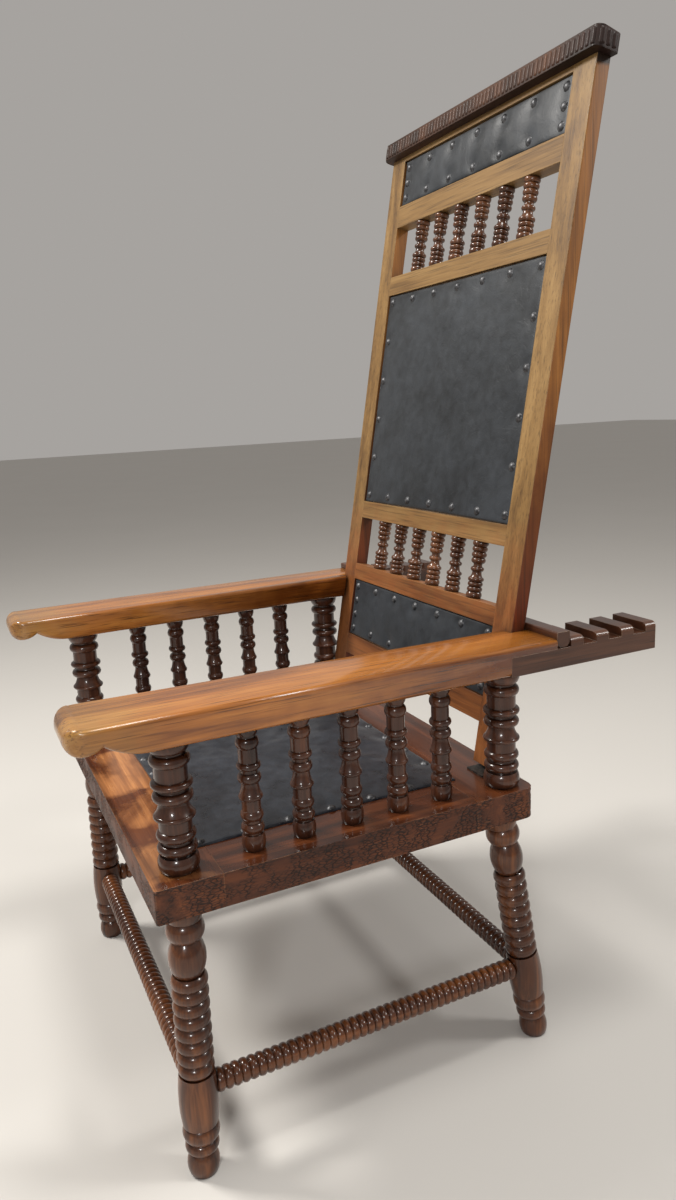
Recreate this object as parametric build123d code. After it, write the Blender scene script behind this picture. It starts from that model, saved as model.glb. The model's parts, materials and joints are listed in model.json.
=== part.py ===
from build123d import *

import os
from math import cos, hypot, radians, sin, sqrt

# Reclining armchair: a turned frame with a back that leans on a loose crossbar,
# which lies in one of four pairs of notches behind the arms.
# Millimetres, +Z up, the chair faces -Y, and the sitter's left is +X.
# While the pieces are made, y is measured from the front face of the seat frame.
# At the end everything moves back so that the origin is under the middle of the chair.

# Seat frame
SEAT_TOP = 385.0
SEAT_WIDTH = 594.0
SEAT_DEPTH = 491.0
RAIL_HEIGHT = 40.0
FRONT_RAIL_WIDTH = 76.0
REAR_RAIL_WIDTH = 88.0
SIDE_RAIL_WIDTH = 80.0
RAIL_EDGE = 2.5
REAR_CORNER = 14.0
RAIL_TENON_LENGTH = 18.0
RAIL_TENON_HEIGHT = 18.0
RAIL_TENON_INSET = 12.0

# Seat board, corner blocks and seat leather
BOARD_THICKNESS = 9.0
BOARD_DROP = 12.0
BOARD_GAP = 0.6
BLOCK_SIZE = 62.0
BLOCK_HEIGHT = 16.0
BLOCK_GAP = 0.3
LEATHER_LAP = 12.0
LEATHER_EDGE = 2.6
SEAT_CROWN = 8.0
SEAT_PULL = 2.5

# Domed nails
NAIL_HEAD = 12.5
NAIL_DOME = 3.2
NAIL_SHANK = 1.8
NAIL_LENGTH = 8.0
SEAT_NAIL_INSET = 8.5
PANEL_NAIL_INSET = 11.5
SEAT_NAIL_PITCH = 52.0

# Turned posts, spindles and their round tenons
POST_X = 261.0
REAR_POST_X = 266.6
FRONT_POST_Y = 37.5
REAR_POST_Y = 460.5
SPINDLE_PITCH = 62.3
SPINDLE_COUNT = 5
POST_RADIUS = 23.0
SPINDLE_RADIUS = 13.8
POST_TENON_RADIUS = 11.0
POST_TENON_LENGTH = 16.0
SPINDLE_TENON_RADIUS = 6.5
SPINDLE_TENON_LENGTH = 12.0

# Legs and stretchers
LEG_RADIUS = 23.2
LEG_TENON_RADIUS = 12.0
LEG_TENON_LENGTH = 22.0
FOOT_OUT = 7.0
FRONT_FOOT_FORWARD = 5.5
REAR_FOOT_BACK = 53.0
STRETCHER_HEIGHT = 109.0
STRETCHER_RADIUS = 13.8
STRETCHER_TENON_RADIUS = 8.0
STRETCHER_TENON_LENGTH = 13.0
STRETCHER_RING = 10.4

# Arms
ARM_TOP = 576.0
ARM_THICKNESS = 36.0
ARM_OUTER_X = 306.0
ARM_FRONT_INNER_X = 211.0
ARM_REAR_INNER_X = 227.0
ARM_FRONT_Y = -71.5
ARM_EDGE = 5.0
KNOB_HEIGHT = 28.0
KNOB_LENGTH = 37.0
CUSP_LIFT = 15.0
CUSP_RUN = 46.0

# Racks and crossbar
RACK_INNER_X = 245.5
RACK_LAP = 69.0
RACK_EDGE = 7.0
NOTCH_COUNT = 4
NOTCH_PITCH = 40.8
NOTCH_DEPTH = 11.5
LAST_TOOTH = 17.0
BAR_WIDTH = 19.6
BAR_HEIGHT = 20.0
BAR_HALF_LENGTH = 304.5
BAR_LOWER_EDGE = 8.0
BAR_UPPER_EDGE = 1.8
BAR_FRONT_GAP = 0.35
BAR_REAR_GAP = 1.1
BAR_FLOOR_GAP = 0.3
BAR_BACK_GAP = 0.4

# Back frame, measured along its own slope from the seat top
BACK_ANGLE = 10.35
BACK_FRONT_Y = 459.4
BACK_HALF_WIDTH = 243.0
STILE_WIDTH = 40.5
BACK_THICKNESS = 20.6
STILE_FOOT = 9.0
BOTTOM_RAIL = (63.0, 97.0)
LOWER_SPINDLE_RAIL = (193.6, 220.0)
LOWER_PANEL_RAIL = (299.5, 327.5)
UPPER_PANEL_RAIL = (667.0, 696.6)
UPPER_SPINDLE_RAIL = (775.0, 808.0)
TOP_RAIL = (878.5, 886.5)
BACK_TENON_LENGTH = 16.0
BACK_TENON_THICKNESS = 7.0
BACK_TENON_SHOULDER = 1.6
STILE_EDGE = 1.6
SHOULDER_GAP = 4.2
ARM_SIDE_GAP = 2.5

# Back spindles
BACK_SPINDLE_RADIUS = 11.0
BACK_SPINDLE_COUNT = 6
BACK_SPINDLE_PITCH = 54.5
BACK_SPINDLE_TENON_RADIUS = 4.5
BACK_SPINDLE_TENON_LENGTH = 8.0

# Back panels
PANEL_BOARD = 6.0
PANEL_SETBACK = 5.0
PANEL_GAP = 0.5
PANEL_EDGE = 2.6
PANEL_CROWN = 3.2
PANEL_PULL = 1.2
PANEL_LAP = 9.0
PANEL_NAILS = 7
SIDE_NAILS = {"head": 3, "back": 6, "lumbar": 4}

# Crest rail
CREST_HALF_LENGTH = 255.0
CREST_FRONT = 12.5
CREST_REAR = 22.5
CREST_HEIGHT = 25.0
CREST_COVE = 1.2
CREST_FALL = 4.0
CREST_CORNER = 10.0
CREST_REAR_CORNER = 6.0

# Hinges under the back
HINGE_WIDTH = 34.0
HINGE_LEAF = 2.4
HINGE_LEAF_LENGTH = 33.0
KNUCKLE_RADIUS = 4.5
KNUCKLE_GAP = 0.35
KNUCKLE_OFF = 0.5
PIN_RADIUS = 2.0
PIN_GAP = 0.05
PIN_HEAD = 1.6
SCREW_RADIUS = 1.9
SCREW_HEAD = 3.4
SCREW_LENGTH = 14.0
SCREW_PITCH = 18.0

# One overrun serves every cut
OVERRUN = 4.0

SIDES = {"left": 1, "right": -1}

# Turned profiles from the bottom up: share of the length, then the share of the
# greatest radius at the foot, the middle and the top of each turning.
LEG_SHARES = (
    [(0.093, 0.62, 0.82, 0.60), (0.043, 0.70, 0.86, 0.70), (0.061, 0.76, 0.94, 0.76)]
    + [(0.186, 0.90, 1.00, 0.90)]
    + [(0.0446, 0.77, 0.92, 0.77)] * 8
    + [(0.125, 0.68, 0.93, 0.64), (0.067, 0.76, 0.95, 0.76), (0.070, 0.82, 0.93, 0.84)]
)
POST_SHARES = [
    (0.119, 0.88, 1.00, 0.88),
    (0.015, 0.74, 0.74, 0.74),
    (0.070, 0.80, 0.96, 0.80),
    (0.024, 0.72, 0.70, 0.72),
    (0.070, 0.80, 0.95, 0.80),
    (0.086, 0.79, 0.79, 0.79),
    (0.034, 0.92, 1.00, 0.92),
    (0.089, 0.92, 0.76, 0.70),
    (0.070, 0.80, 0.97, 0.80),
    (0.030, 0.70, 0.68, 0.70),
    (0.050, 0.86, 1.00, 0.86),
    (0.104, 0.79, 0.79, 0.79),
    (0.080, 0.79, 0.97, 0.79),
    (0.020, 0.72, 0.72, 0.72),
    (0.110, 0.84, 1.00, 0.90),
]
BACK_SPINDLE_SHARES = [
    (0.110, 0.86, 1.00, 0.86),
    (0.090, 0.76, 0.97, 0.76),
    (0.090, 0.74, 0.95, 0.74),
    (0.080, 0.80, 1.00, 0.80),
    (0.100, 0.78, 0.62, 0.60),
    (0.080, 0.66, 0.84, 0.66),
    (0.060, 0.58, 0.54, 0.58),
    (0.100, 0.70, 0.90, 0.70),
    (0.100, 0.72, 0.94, 0.72),
    (0.100, 0.74, 0.96, 0.74),
    (0.090, 0.84, 1.00, 0.88),
]
RING_SHARES = (0.80, 1.0, 0.80)
STRAIGHT = 1e-4

# Places that follow from the sizes above
RAIL_BOTTOM = SEAT_TOP - RAIL_HEIGHT
ARM_BOTTOM = ARM_TOP - ARM_THICKNESS
POST_LENGTH = ARM_BOTTOM - SEAT_TOP
LEAN = radians(BACK_ANGLE)
SEAT_INNER_X = SEAT_WIDTH / 2 - SIDE_RAIL_WIDTH
SEAT_INNER_FRONT = FRONT_RAIL_WIDTH
SEAT_INNER_REAR = SEAT_DEPTH - REAR_RAIL_WIDTH
SEAT_MIDDLE = (SEAT_INNER_FRONT + SEAT_INNER_REAR) / 2
STILE_X = BACK_HALF_WIDTH - STILE_WIDTH / 2
BACK_INNER_X = BACK_HALF_WIDTH - STILE_WIDTH
REAR_FACE_DEPTH = BACK_THICKNESS
NOTCH_FLOOR = ARM_TOP - NOTCH_DEPTH
BAR_BOTTOM = NOTCH_FLOOR + BAR_FLOOR_GAP
BAR_TOP = BAR_BOTTOM + BAR_HEIGHT


def back_y(height, depth):
    """Give y of the point of the back at a height above the floor and a depth behind its front face."""
    rise = (height - SEAT_TOP + depth * sin(LEAN)) / cos(LEAN)
    return BACK_FRONT_Y + rise * sin(LEAN) + depth * cos(LEAN)


BAR_FRONT_Y = back_y(BAR_TOP, REAR_FACE_DEPTH) + BAR_BACK_GAP
BAR_MIDDLE_Y = BAR_FRONT_Y + BAR_WIDTH / 2
NOTCH_WIDTH = BAR_WIDTH + BAR_FRONT_GAP + BAR_REAR_GAP
FIRST_NOTCH_Y = BAR_FRONT_Y - BAR_FRONT_GAP
ARM_REAR_Y = FIRST_NOTCH_Y
RACK_FRONT_Y = ARM_REAR_Y - RACK_LAP
RACK_REAR_Y = FIRST_NOTCH_Y + (NOTCH_COUNT - 1) * NOTCH_PITCH + NOTCH_WIDTH + LAST_TOOTH
SHOULDER_Y = back_y(ARM_TOP, 0) - SHOULDER_GAP
MIDDLE_Y = (ARM_FRONT_Y + RACK_REAR_Y) / 2
HINGE_HEIGHT = SEAT_TOP + KNUCKLE_RADIUS
HINGE_DEPTH = REAR_FACE_DEPTH + KNUCKLE_OFF + KNUCKLE_RADIUS
HINGE_Y = back_y(HINGE_HEIGHT, HINGE_DEPTH)
HINGE_RISE = (HINGE_HEIGHT - SEAT_TOP + HINGE_DEPTH * sin(LEAN)) / cos(LEAN)
BACK_PLACE = Location((0, BACK_FRONT_Y, SEAT_TOP), (-BACK_ANGLE, 0, 0))


def block(low, high):
    """Make a box from its lowest to its highest corner."""
    size = [top - bottom for bottom, top in zip(low, high)]
    middle = [(top + bottom) / 2 for bottom, top in zip(low, high)]
    return Pos(*middle) * Box(*size)


def rod(start, end, radius):
    """Make a round rod between two points."""
    return Solid.make_cylinder(radius, (Vector(*end) - Vector(*start)).length,
                               Plane(origin=start, z_dir=Vector(*end) - Vector(*start)))


def turning_face(length, radius, shares):
    """Draw half of a turned profile, from its axis outwards, from the table of shares."""
    total = sum(row[0] for row in shares)
    edges = []
    here = (0, 0)
    for height, low, middle, high in shares:
        start = (low * radius, here[1])
        end = (high * radius, here[1] + height / total * length)
        waist = (middle * radius, (start[1] + end[1]) / 2)
        if abs(here[0] - start[0]) > STRAIGHT:
            edges.append(Line(here, start))
        if abs(middle - (low + high) / 2) < STRAIGHT:
            edges.append(Line(start, end))
        else:
            edges.append(ThreePointArc(start, waist, end))
        here = end
    edges.append(Line(here, (0, here[1])))
    edges.append(Line((0, here[1]), (0, 0)))
    return make_face(edges)


def turned(start, end, radius, shares):
    """Turn a piece on the line from start to end."""
    axis = Vector(*end) - Vector(*start)
    solid = revolve(Plane.XZ * turning_face(axis.length, radius, shares), Axis.Z)
    return Plane(origin=start, z_dir=axis) * solid


def ring_shares(length):
    """Give the shares of a piece that is rings from end to end."""
    count = max(3, round(length / STRETCHER_RING))
    return [(1 / count,) + RING_SHARES] * count


def spindle_rows():
    """Give the y of each arm spindle, evenly spaced between the posts."""
    middle = (FRONT_POST_Y + REAR_POST_Y) / 2
    first = middle - (SPINDLE_COUNT - 1) / 2 * SPINDLE_PITCH
    return [first + index * SPINDLE_PITCH for index in range(SPINDLE_COUNT)]


def upright_tenons(x, y, radius, length):
    """Make the round tenons below and above an upright between the seat and the arm."""
    low = rod((x, y, SEAT_TOP - length), (x, y, SEAT_TOP), radius)
    high = rod((x, y, ARM_BOTTOM), (x, y, ARM_BOTTOM + length), radius)
    return [low, high]


def uprights(side):
    """List the posts and spindles of one side: name, x, y, radius, tenon radius, tenon length."""
    sign = SIDES[side]
    rows = [
        (f"front_{side}_post", sign * POST_X, FRONT_POST_Y, POST_RADIUS, POST_TENON_RADIUS, POST_TENON_LENGTH),
        (f"rear_{side}_post", sign * REAR_POST_X, REAR_POST_Y, POST_RADIUS, POST_TENON_RADIUS, POST_TENON_LENGTH),
    ]
    for index, y in enumerate(spindle_rows()):
        rows.append((f"{side}_arm_spindle_{index + 1}", sign * POST_X, y, SPINDLE_RADIUS,
                     SPINDLE_TENON_RADIUS, SPINDLE_TENON_LENGTH))
    return rows


def upright_pieces(side):
    """Make the posts and spindles of one side and the holes that they need."""
    pieces = {}
    holes = []
    for name, x, y, radius, tenon_radius, tenon_length in uprights(side):
        tenons = upright_tenons(x, y, tenon_radius, tenon_length)
        body = turned((x, y, SEAT_TOP), (x, y, ARM_BOTTOM), radius, POST_SHARES)
        pieces[name] = body + tenons
        holes.extend(tenons)
    return pieces, holes


def leg_line(side, end):
    """Give the points where a leg's axis meets the seat frame and the floor."""
    sign = SIDES[side]
    if end == "front":
        return ((sign * POST_X, FRONT_POST_Y, RAIL_BOTTOM),
                (sign * (POST_X + FOOT_OUT), FRONT_POST_Y - FRONT_FOOT_FORWARD, 0))
    return ((sign * POST_X, REAR_POST_Y, RAIL_BOTTOM),
            (sign * (POST_X + FOOT_OUT), REAR_POST_Y + REAR_FOOT_BACK, 0))


def along(start, end, share):
    """Give the point at a share of the way from start to end."""
    return tuple(a + (b - a) * share for a, b in zip(start, end))


def leg_at(side, end, height):
    """Give the point of a leg's axis at a height."""
    top, foot = leg_line(side, end)
    return along(foot, top, height / RAIL_BOTTOM)


def leg_tenon(side, end):
    """Make the tenon on top of a leg."""
    top, foot = leg_line(side, end)
    reach = LEG_TENON_LENGTH / RAIL_BOTTOM
    lower = along(top, foot, reach)
    upper = along(foot, top, 1 + reach)
    return rod(lower, upper, LEG_TENON_RADIUS)


def leg(side, end, stretcher_tenons):
    """Turn a leg, cut it level at the floor and under the rail, and bore it for the stretchers."""
    top, foot = leg_line(side, end)
    over = OVERRUN / RAIL_BOTTOM
    body = turned(along(top, foot, 1 + over), along(foot, top, 1 + over), LEG_RADIUS, LEG_SHARES)
    reach = SEAT_WIDTH + SEAT_DEPTH
    body -= block((-reach, -reach, RAIL_BOTTOM), (reach, reach, SEAT_TOP + reach))
    body -= block((-reach, -reach, -reach), (reach, reach, 0))
    return body + leg_tenon(side, end) - stretcher_tenons


STRETCHER_ENDS = {
    "front_stretcher": (("left", "front"), ("right", "front")),
    "rear_stretcher": (("left", "rear"), ("right", "rear")),
    "left_stretcher": (("left", "front"), ("left", "rear")),
    "right_stretcher": (("right", "front"), ("right", "rear")),
}


def stretcher_core(name):
    """Make the round core whose ends are a stretcher's tenons."""
    first, second = (leg_at(*place, STRETCHER_HEIGHT) for place in STRETCHER_ENDS[name])
    span = Vector(*second) - Vector(*first)
    stop = (LEG_RADIUS - STRETCHER_TENON_LENGTH) / span.length
    return rod(along(first, second, stop), along(first, second, 1 - stop), STRETCHER_TENON_RADIUS)


def stretcher(name):
    """Turn a ringed stretcher, coped round the legs, with its tenons."""
    places = STRETCHER_ENDS[name]
    first, second = (leg_at(*place, STRETCHER_HEIGHT) for place in places)
    length = (Vector(*second) - Vector(*first)).length
    body = turned(first, second, STRETCHER_RADIUS, ring_shares(length))
    for place in places:
        low = leg_at(*place, STRETCHER_HEIGHT - LEG_RADIUS)
        high = leg_at(*place, STRETCHER_HEIGHT + LEG_RADIUS)
        body -= rod(low, high, LEG_RADIUS)
    return body + stretcher_core(name)


def side_rail_tenons(side):
    """Make the tenons of a side rail, which enter the front and rear rails."""
    sign = SIDES[side]
    x_low, x_high = sorted((sign * (SEAT_INNER_X + RAIL_TENON_INSET),
                            sign * (SEAT_WIDTH / 2 - RAIL_TENON_INSET)))
    middle = SEAT_TOP - RAIL_HEIGHT / 2
    low, high = middle - RAIL_TENON_HEIGHT / 2, middle + RAIL_TENON_HEIGHT / 2
    front = block((x_low, SEAT_INNER_FRONT - RAIL_TENON_LENGTH, low), (x_high, SEAT_INNER_FRONT, high))
    rear = block((x_low, SEAT_INNER_REAR, low), (x_high, SEAT_INNER_REAR + RAIL_TENON_LENGTH, high))
    return [front, rear]


def cross_rail(y_low, y_high, corner):
    """Make the front or rear rail with its outer corners eased."""
    half = SEAT_WIDTH / 2
    rail = block((-half, y_low, RAIL_BOTTOM), (half, y_high, SEAT_TOP))
    outer = rail.edges().filter_by(Axis.Z)
    outer = outer.sort_by(Axis.Y)[:2] if y_low == 0 else outer.sort_by(Axis.Y)[-2:]
    rail = fillet(outer, corner)
    return rail


def seat_rails(holes):
    """Make the four rails of the seat frame, mortised and bored."""
    tenons = side_rail_tenons("left") + side_rail_tenons("right")
    leg_tenons = [leg_tenon(side, end) for side in SIDES for end in ("front", "rear")]
    rails = {
        "front_seat_rail": cross_rail(0, SEAT_INNER_FRONT, RAIL_EDGE) - tenons,
        "rear_seat_rail": cross_rail(SEAT_INNER_REAR, SEAT_DEPTH, REAR_CORNER) - tenons,
    }
    for side, sign in SIDES.items():
        x_low, x_high = sorted((sign * SEAT_INNER_X, sign * SEAT_WIDTH / 2))
        rail = block((x_low, SEAT_INNER_FRONT, RAIL_BOTTOM), (x_high, SEAT_INNER_REAR, SEAT_TOP))
        rails[f"{side}_seat_rail"] = rail + side_rail_tenons(side)
    return {name: rail - holes - leg_tenons for name, rail in rails.items()}


def bowed_outline(half_x, half_y, pull):
    """Draw a rectangle whose sides are drawn in between the corners."""
    corners = [(-half_x, -half_y), (half_x, -half_y), (half_x, half_y), (-half_x, half_y)]
    edges = []
    for start, end in zip(corners, corners[1:] + corners[:1]):
        middle = ((start[0] + end[0]) / 2, (start[1] + end[1]) / 2)
        reach = hypot(*middle)
        inner = tuple(value * (reach - pull) / reach for value in middle)
        edges.append(ThreePointArc(start, inner, end))
    return make_face(edges)


def crowned_pad(half_x, half_y, edge, crown, pull):
    """Make a pad on the plane z = 0, edge thick at its rim and higher by the crown in the middle."""
    pad = extrude(bowed_outline(half_x, half_y, pull), edge + crown)
    reach = 2 * (half_x + half_y)
    for half, plane in ((half_x, Plane.XZ), (half_y, Plane.YZ)):
        radius = (half ** 2 + crown ** 2) / (2 * crown)
        centre = (0, edge + crown - radius)
        barrel = extrude(plane * (Pos(*centre) * Circle(radius)), reach, both=True)
        pad &= barrel
    return pad


def seat_leather():
    """Make the seat's leather and padding: a plug in the frame, a lap on the rails and a low crown."""
    half_x = SEAT_INNER_X + LEATHER_LAP
    half_y = (SEAT_INNER_REAR - SEAT_INNER_FRONT) / 2 + LEATHER_LAP
    top = crowned_pad(half_x, half_y, LEATHER_EDGE, SEAT_CROWN, SEAT_PULL)
    top = Pos(0, SEAT_MIDDLE, SEAT_TOP) * top
    plug = block((-SEAT_INNER_X + BOARD_GAP, SEAT_INNER_FRONT + BOARD_GAP, SEAT_TOP - BOARD_DROP),
                 (SEAT_INNER_X - BOARD_GAP, SEAT_INNER_REAR - BOARD_GAP, SEAT_TOP + LEATHER_EDGE / 2))
    return top + plug


def seat_board():
    """Make the board that carries the seat's padding."""
    high = SEAT_TOP - BOARD_DROP
    return block((-SEAT_INNER_X + BOARD_GAP, SEAT_INNER_FRONT + BOARD_GAP, high - BOARD_THICKNESS),
                 (SEAT_INNER_X - BOARD_GAP, SEAT_INNER_REAR - BOARD_GAP, high))


def corner_blocks():
    """Make the four blocks in the corners of the frame that carry the seat board."""
    high = SEAT_TOP - BOARD_DROP - BOARD_THICKNESS
    blocks = []
    for sign_x in (-1, 1):
        for y, sign_y in ((SEAT_INNER_FRONT, 1), (SEAT_INNER_REAR, -1)):
            corner = (sign_x * (SEAT_INNER_X - BLOCK_GAP), y + sign_y * BLOCK_GAP)
            along_rail = (corner[0] - sign_x * BLOCK_SIZE, corner[1])
            along_side = (corner[0], corner[1] + sign_y * BLOCK_SIZE)
            points = [corner, along_side, along_rail] if sign_x * sign_y > 0 else [corner, along_rail, along_side]
            face = make_face([Line(a, b) for a, b in zip(points, points[1:] + points[:1])])
            blocks.append(Pos(0, 0, high - BLOCK_HEIGHT) * extrude(face, BLOCK_HEIGHT, dir=(0, 0, 1)))
    return Compound(children=blocks)


def nail():
    """Make one domed nail whose head sits on the plane z = 0."""
    radius = NAIL_HEAD / 2
    ball = (radius ** 2 + NAIL_DOME ** 2) / (2 * NAIL_DOME)
    dome = Pos(0, 0, NAIL_DOME - ball) * Sphere(ball)
    dome &= block((-NAIL_HEAD, -NAIL_HEAD, 0), (NAIL_HEAD, NAIL_HEAD, NAIL_HEAD))
    return dome + rod((0, 0, -NAIL_LENGTH), (0, 0, NAIL_DOME / 2), NAIL_SHANK / 2)


def spread(low, high, count):
    """Give evenly spaced places from low to high, both counted."""
    return [low + (high - low) * index / (count - 1) for index in range(count)]


def rim_places(half_x, half_y, across, down):
    """Give the places of a row of nails round a rectangle, each corner once."""
    places = [(x, y) for y in (-half_y, half_y) for x in spread(-half_x, half_x, across)]
    places += [(x, y) for x in (-half_x, half_x) for y in spread(-half_y, half_y, down)[1:-1]]
    return places


def seat_nails():
    """Make the nails round the seat leather."""
    half_x = SEAT_INNER_X + LEATHER_LAP - SEAT_NAIL_INSET
    half_y = (SEAT_INNER_REAR - SEAT_INNER_FRONT) / 2 + LEATHER_LAP - SEAT_NAIL_INSET
    across = round(2 * half_x / SEAT_NAIL_PITCH) + 1
    down = round(2 * half_y / SEAT_NAIL_PITCH) + 1
    height = SEAT_TOP + LEATHER_EDGE
    nails = [Pos(x, SEAT_MIDDLE + y, height) * nail() for x, y in rim_places(half_x, half_y, across, down)]
    return Compound(children=nails)


def arm_profile():
    """Draw an arm from the side, with the scroll at its front end; y runs along the first axis."""
    top_start = (ARM_FRONT_Y + KNOB_HEIGHT * 2 / 3, ARM_TOP)
    nose = (ARM_FRONT_Y, ARM_TOP - KNOB_HEIGHT / 2)
    chin = (ARM_FRONT_Y + KNOB_HEIGHT / 2, ARM_TOP - KNOB_HEIGHT)
    cusp = (ARM_FRONT_Y + KNOB_LENGTH, ARM_BOTTOM + CUSP_LIFT)
    heel = ((chin[0] + cusp[0]) / 2 + CUSP_LIFT / 8, chin[1] + CUSP_LIFT / 8)
    flat = (cusp[0] + CUSP_RUN, ARM_BOTTOM)
    round_radius = (CUSP_RUN ** 2 + CUSP_LIFT ** 2) / (2 * CUSP_LIFT)
    belly_rise = round_radius - sqrt(round_radius ** 2 - (CUSP_RUN / 2) ** 2)
    belly = (cusp[0] + CUSP_RUN / 2, ARM_BOTTOM + belly_rise)
    rear_low = (ARM_REAR_Y, ARM_BOTTOM)
    rear_high = (ARM_REAR_Y, ARM_TOP)
    return make_face([
        ThreePointArc(top_start, nose, chin),
        ThreePointArc(chin, heel, cusp),
        ThreePointArc(cusp, belly, flat),
        Line(flat, rear_low),
        Line(rear_low, rear_high),
        Line(rear_high, top_start),
    ])


def arm_blank():
    """Make the left arm as a solid with rounded edges, before its joints are cut."""
    solid = Pos(ARM_FRONT_INNER_X - OVERRUN, 0, 0) * extrude(
        Plane.YZ * arm_profile(), ARM_OUTER_X - ARM_FRONT_INNER_X + 2 * OVERRUN)
    corners = [(ARM_FRONT_INNER_X, ARM_FRONT_Y - OVERRUN), (ARM_OUTER_X, ARM_FRONT_Y - OVERRUN),
               (ARM_OUTER_X, ARM_REAR_Y + OVERRUN), (ARM_REAR_INNER_X, ARM_REAR_Y + OVERRUN)]
    plan = make_face([Line(a, b) for a, b in zip(corners, corners[1:] + corners[:1])])
    solid &= Pos(0, 0, ARM_BOTTOM - OVERRUN) * extrude(plan, ARM_THICKNESS + 2 * OVERRUN, dir=(0, 0, 1))
    long_faces = [face for face in solid.faces() if abs(face.normal_at().X) > cos(LEAN)]
    edges = ShapeList([edge for face in long_faces for edge in face.edges()])
    edges = edges.filter_by(lambda edge: edge.center().Y < ARM_REAR_Y - STRAIGHT)
    return fillet(edges, ARM_EDGE)


def arm(side, holes):
    """Make one arm: lapped over the rack, cut round the stile and bored for its posts."""
    solid = arm_blank()
    lap_top = NOTCH_FLOOR
    solid -= block((RACK_INNER_X, RACK_FRONT_Y, ARM_BOTTOM - OVERRUN),
                   (ARM_OUTER_X + OVERRUN, ARM_REAR_Y + OVERRUN, lap_top))
    inner_x = BACK_HALF_WIDTH + ARM_SIDE_GAP
    low, high = SHOULDER_Y - ARM_THICKNESS * sin(LEAN) / cos(LEAN), SHOULDER_Y
    far = ARM_REAR_Y + OVERRUN
    over = OVERRUN * sin(LEAN) / cos(LEAN)
    notch = make_face([
        Line((low - over, ARM_BOTTOM - OVERRUN), (high + over, ARM_TOP + OVERRUN)),
        Line((high + over, ARM_TOP + OVERRUN), (far, ARM_TOP + OVERRUN)),
        Line((far, ARM_TOP + OVERRUN), (far, ARM_BOTTOM - OVERRUN)),
        Line((far, ARM_BOTTOM - OVERRUN), (low - over, ARM_BOTTOM - OVERRUN)),
    ])
    width = inner_x - ARM_FRONT_INNER_X + OVERRUN
    solid -= Pos(inner_x - width, 0, 0) * extrude(Plane.YZ * notch, width)
    if side == "right":
        solid = mirror(solid, Plane.YZ)
    return solid - holes


def rack(side, holes):
    """Make one rack: a bar lapped under the arm, with four notches in its top."""
    corner = [(RACK_INNER_X, ARM_BOTTOM), (ARM_OUTER_X, ARM_BOTTOM),
              (ARM_OUTER_X, ARM_TOP - RACK_EDGE), (ARM_OUTER_X - RACK_EDGE, ARM_TOP), (RACK_INNER_X, ARM_TOP)]
    section = make_face([
        Line(corner[0], corner[1]),
        Line(corner[1], corner[2]),
        RadiusArc(corner[2], corner[3], -RACK_EDGE),
        Line(corner[3], corner[4]),
        Line(corner[4], corner[0]),
    ])
    solid = Pos(0, RACK_REAR_Y, 0) * extrude(Plane.XZ * section, RACK_REAR_Y - RACK_FRONT_Y)
    wide = (RACK_INNER_X - OVERRUN, ARM_OUTER_X + OVERRUN)
    solid -= block((wide[0], RACK_FRONT_Y - OVERRUN, NOTCH_FLOOR),
                   (wide[1], FIRST_NOTCH_Y + NOTCH_WIDTH, ARM_TOP + OVERRUN))
    for index in range(1, NOTCH_COUNT):
        front = FIRST_NOTCH_Y + index * NOTCH_PITCH
        solid -= block((wide[0], front, NOTCH_FLOOR), (wide[1], front + NOTCH_WIDTH, ARM_TOP + OVERRUN))
    if side == "right":
        solid = mirror(solid, Plane.YZ)
    return solid - holes


def crossbar():
    """Make the loose bar that holds the back up, round below and flat on top."""
    bar = block((-BAR_HALF_LENGTH, BAR_FRONT_Y, BAR_BOTTOM),
                (BAR_HALF_LENGTH, BAR_FRONT_Y + BAR_WIDTH, BAR_TOP))
    long_edges = bar.edges().filter_by(Axis.X).sort_by(Axis.Z)
    bar = fillet(long_edges[:2], BAR_LOWER_EDGE)
    long_edges = bar.edges().filter_by(Axis.X).sort_by(Axis.Z)
    return fillet(long_edges[-2:], BAR_UPPER_EDGE)


BACK_RAILS = {
    "bottom_rail": BOTTOM_RAIL,
    "lower_spindle_rail": LOWER_SPINDLE_RAIL,
    "lower_panel_rail": LOWER_PANEL_RAIL,
    "upper_panel_rail": UPPER_PANEL_RAIL,
    "upper_spindle_rail": UPPER_SPINDLE_RAIL,
    "top_rail": TOP_RAIL,
}
SPINDLE_BAYS = {
    "lower_back_spindles": (LOWER_SPINDLE_RAIL[1], LOWER_PANEL_RAIL[0]),
    "upper_back_spindles": (UPPER_PANEL_RAIL[1], UPPER_SPINDLE_RAIL[0]),
}
PANEL_BAYS = {
    "lumbar": (BOTTOM_RAIL[1], LOWER_SPINDLE_RAIL[0]),
    "back": (LOWER_PANEL_RAIL[1], UPPER_PANEL_RAIL[0]),
    "head": (UPPER_SPINDLE_RAIL[1], TOP_RAIL[0]),
}


def back_tenons(low, high):
    """Make the two tenons of a back rail, in the back's own frame."""
    middle = BACK_THICKNESS / 2
    front, rear = middle - BACK_TENON_THICKNESS / 2, middle + BACK_TENON_THICKNESS / 2
    tenons = []
    for sign in SIDES.values():
        x_low, x_high = sorted((sign * BACK_INNER_X, sign * (BACK_INNER_X + BACK_TENON_LENGTH)))
        tenons.append(block((x_low, front, low + BACK_TENON_SHOULDER), (x_high, rear, high - BACK_TENON_SHOULDER)))
    return tenons


def spindle_places():
    """Give the x of each back spindle."""
    half = (BACK_SPINDLE_COUNT - 1) / 2
    return [(index - half) * BACK_SPINDLE_PITCH for index in range(BACK_SPINDLE_COUNT)]


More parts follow.
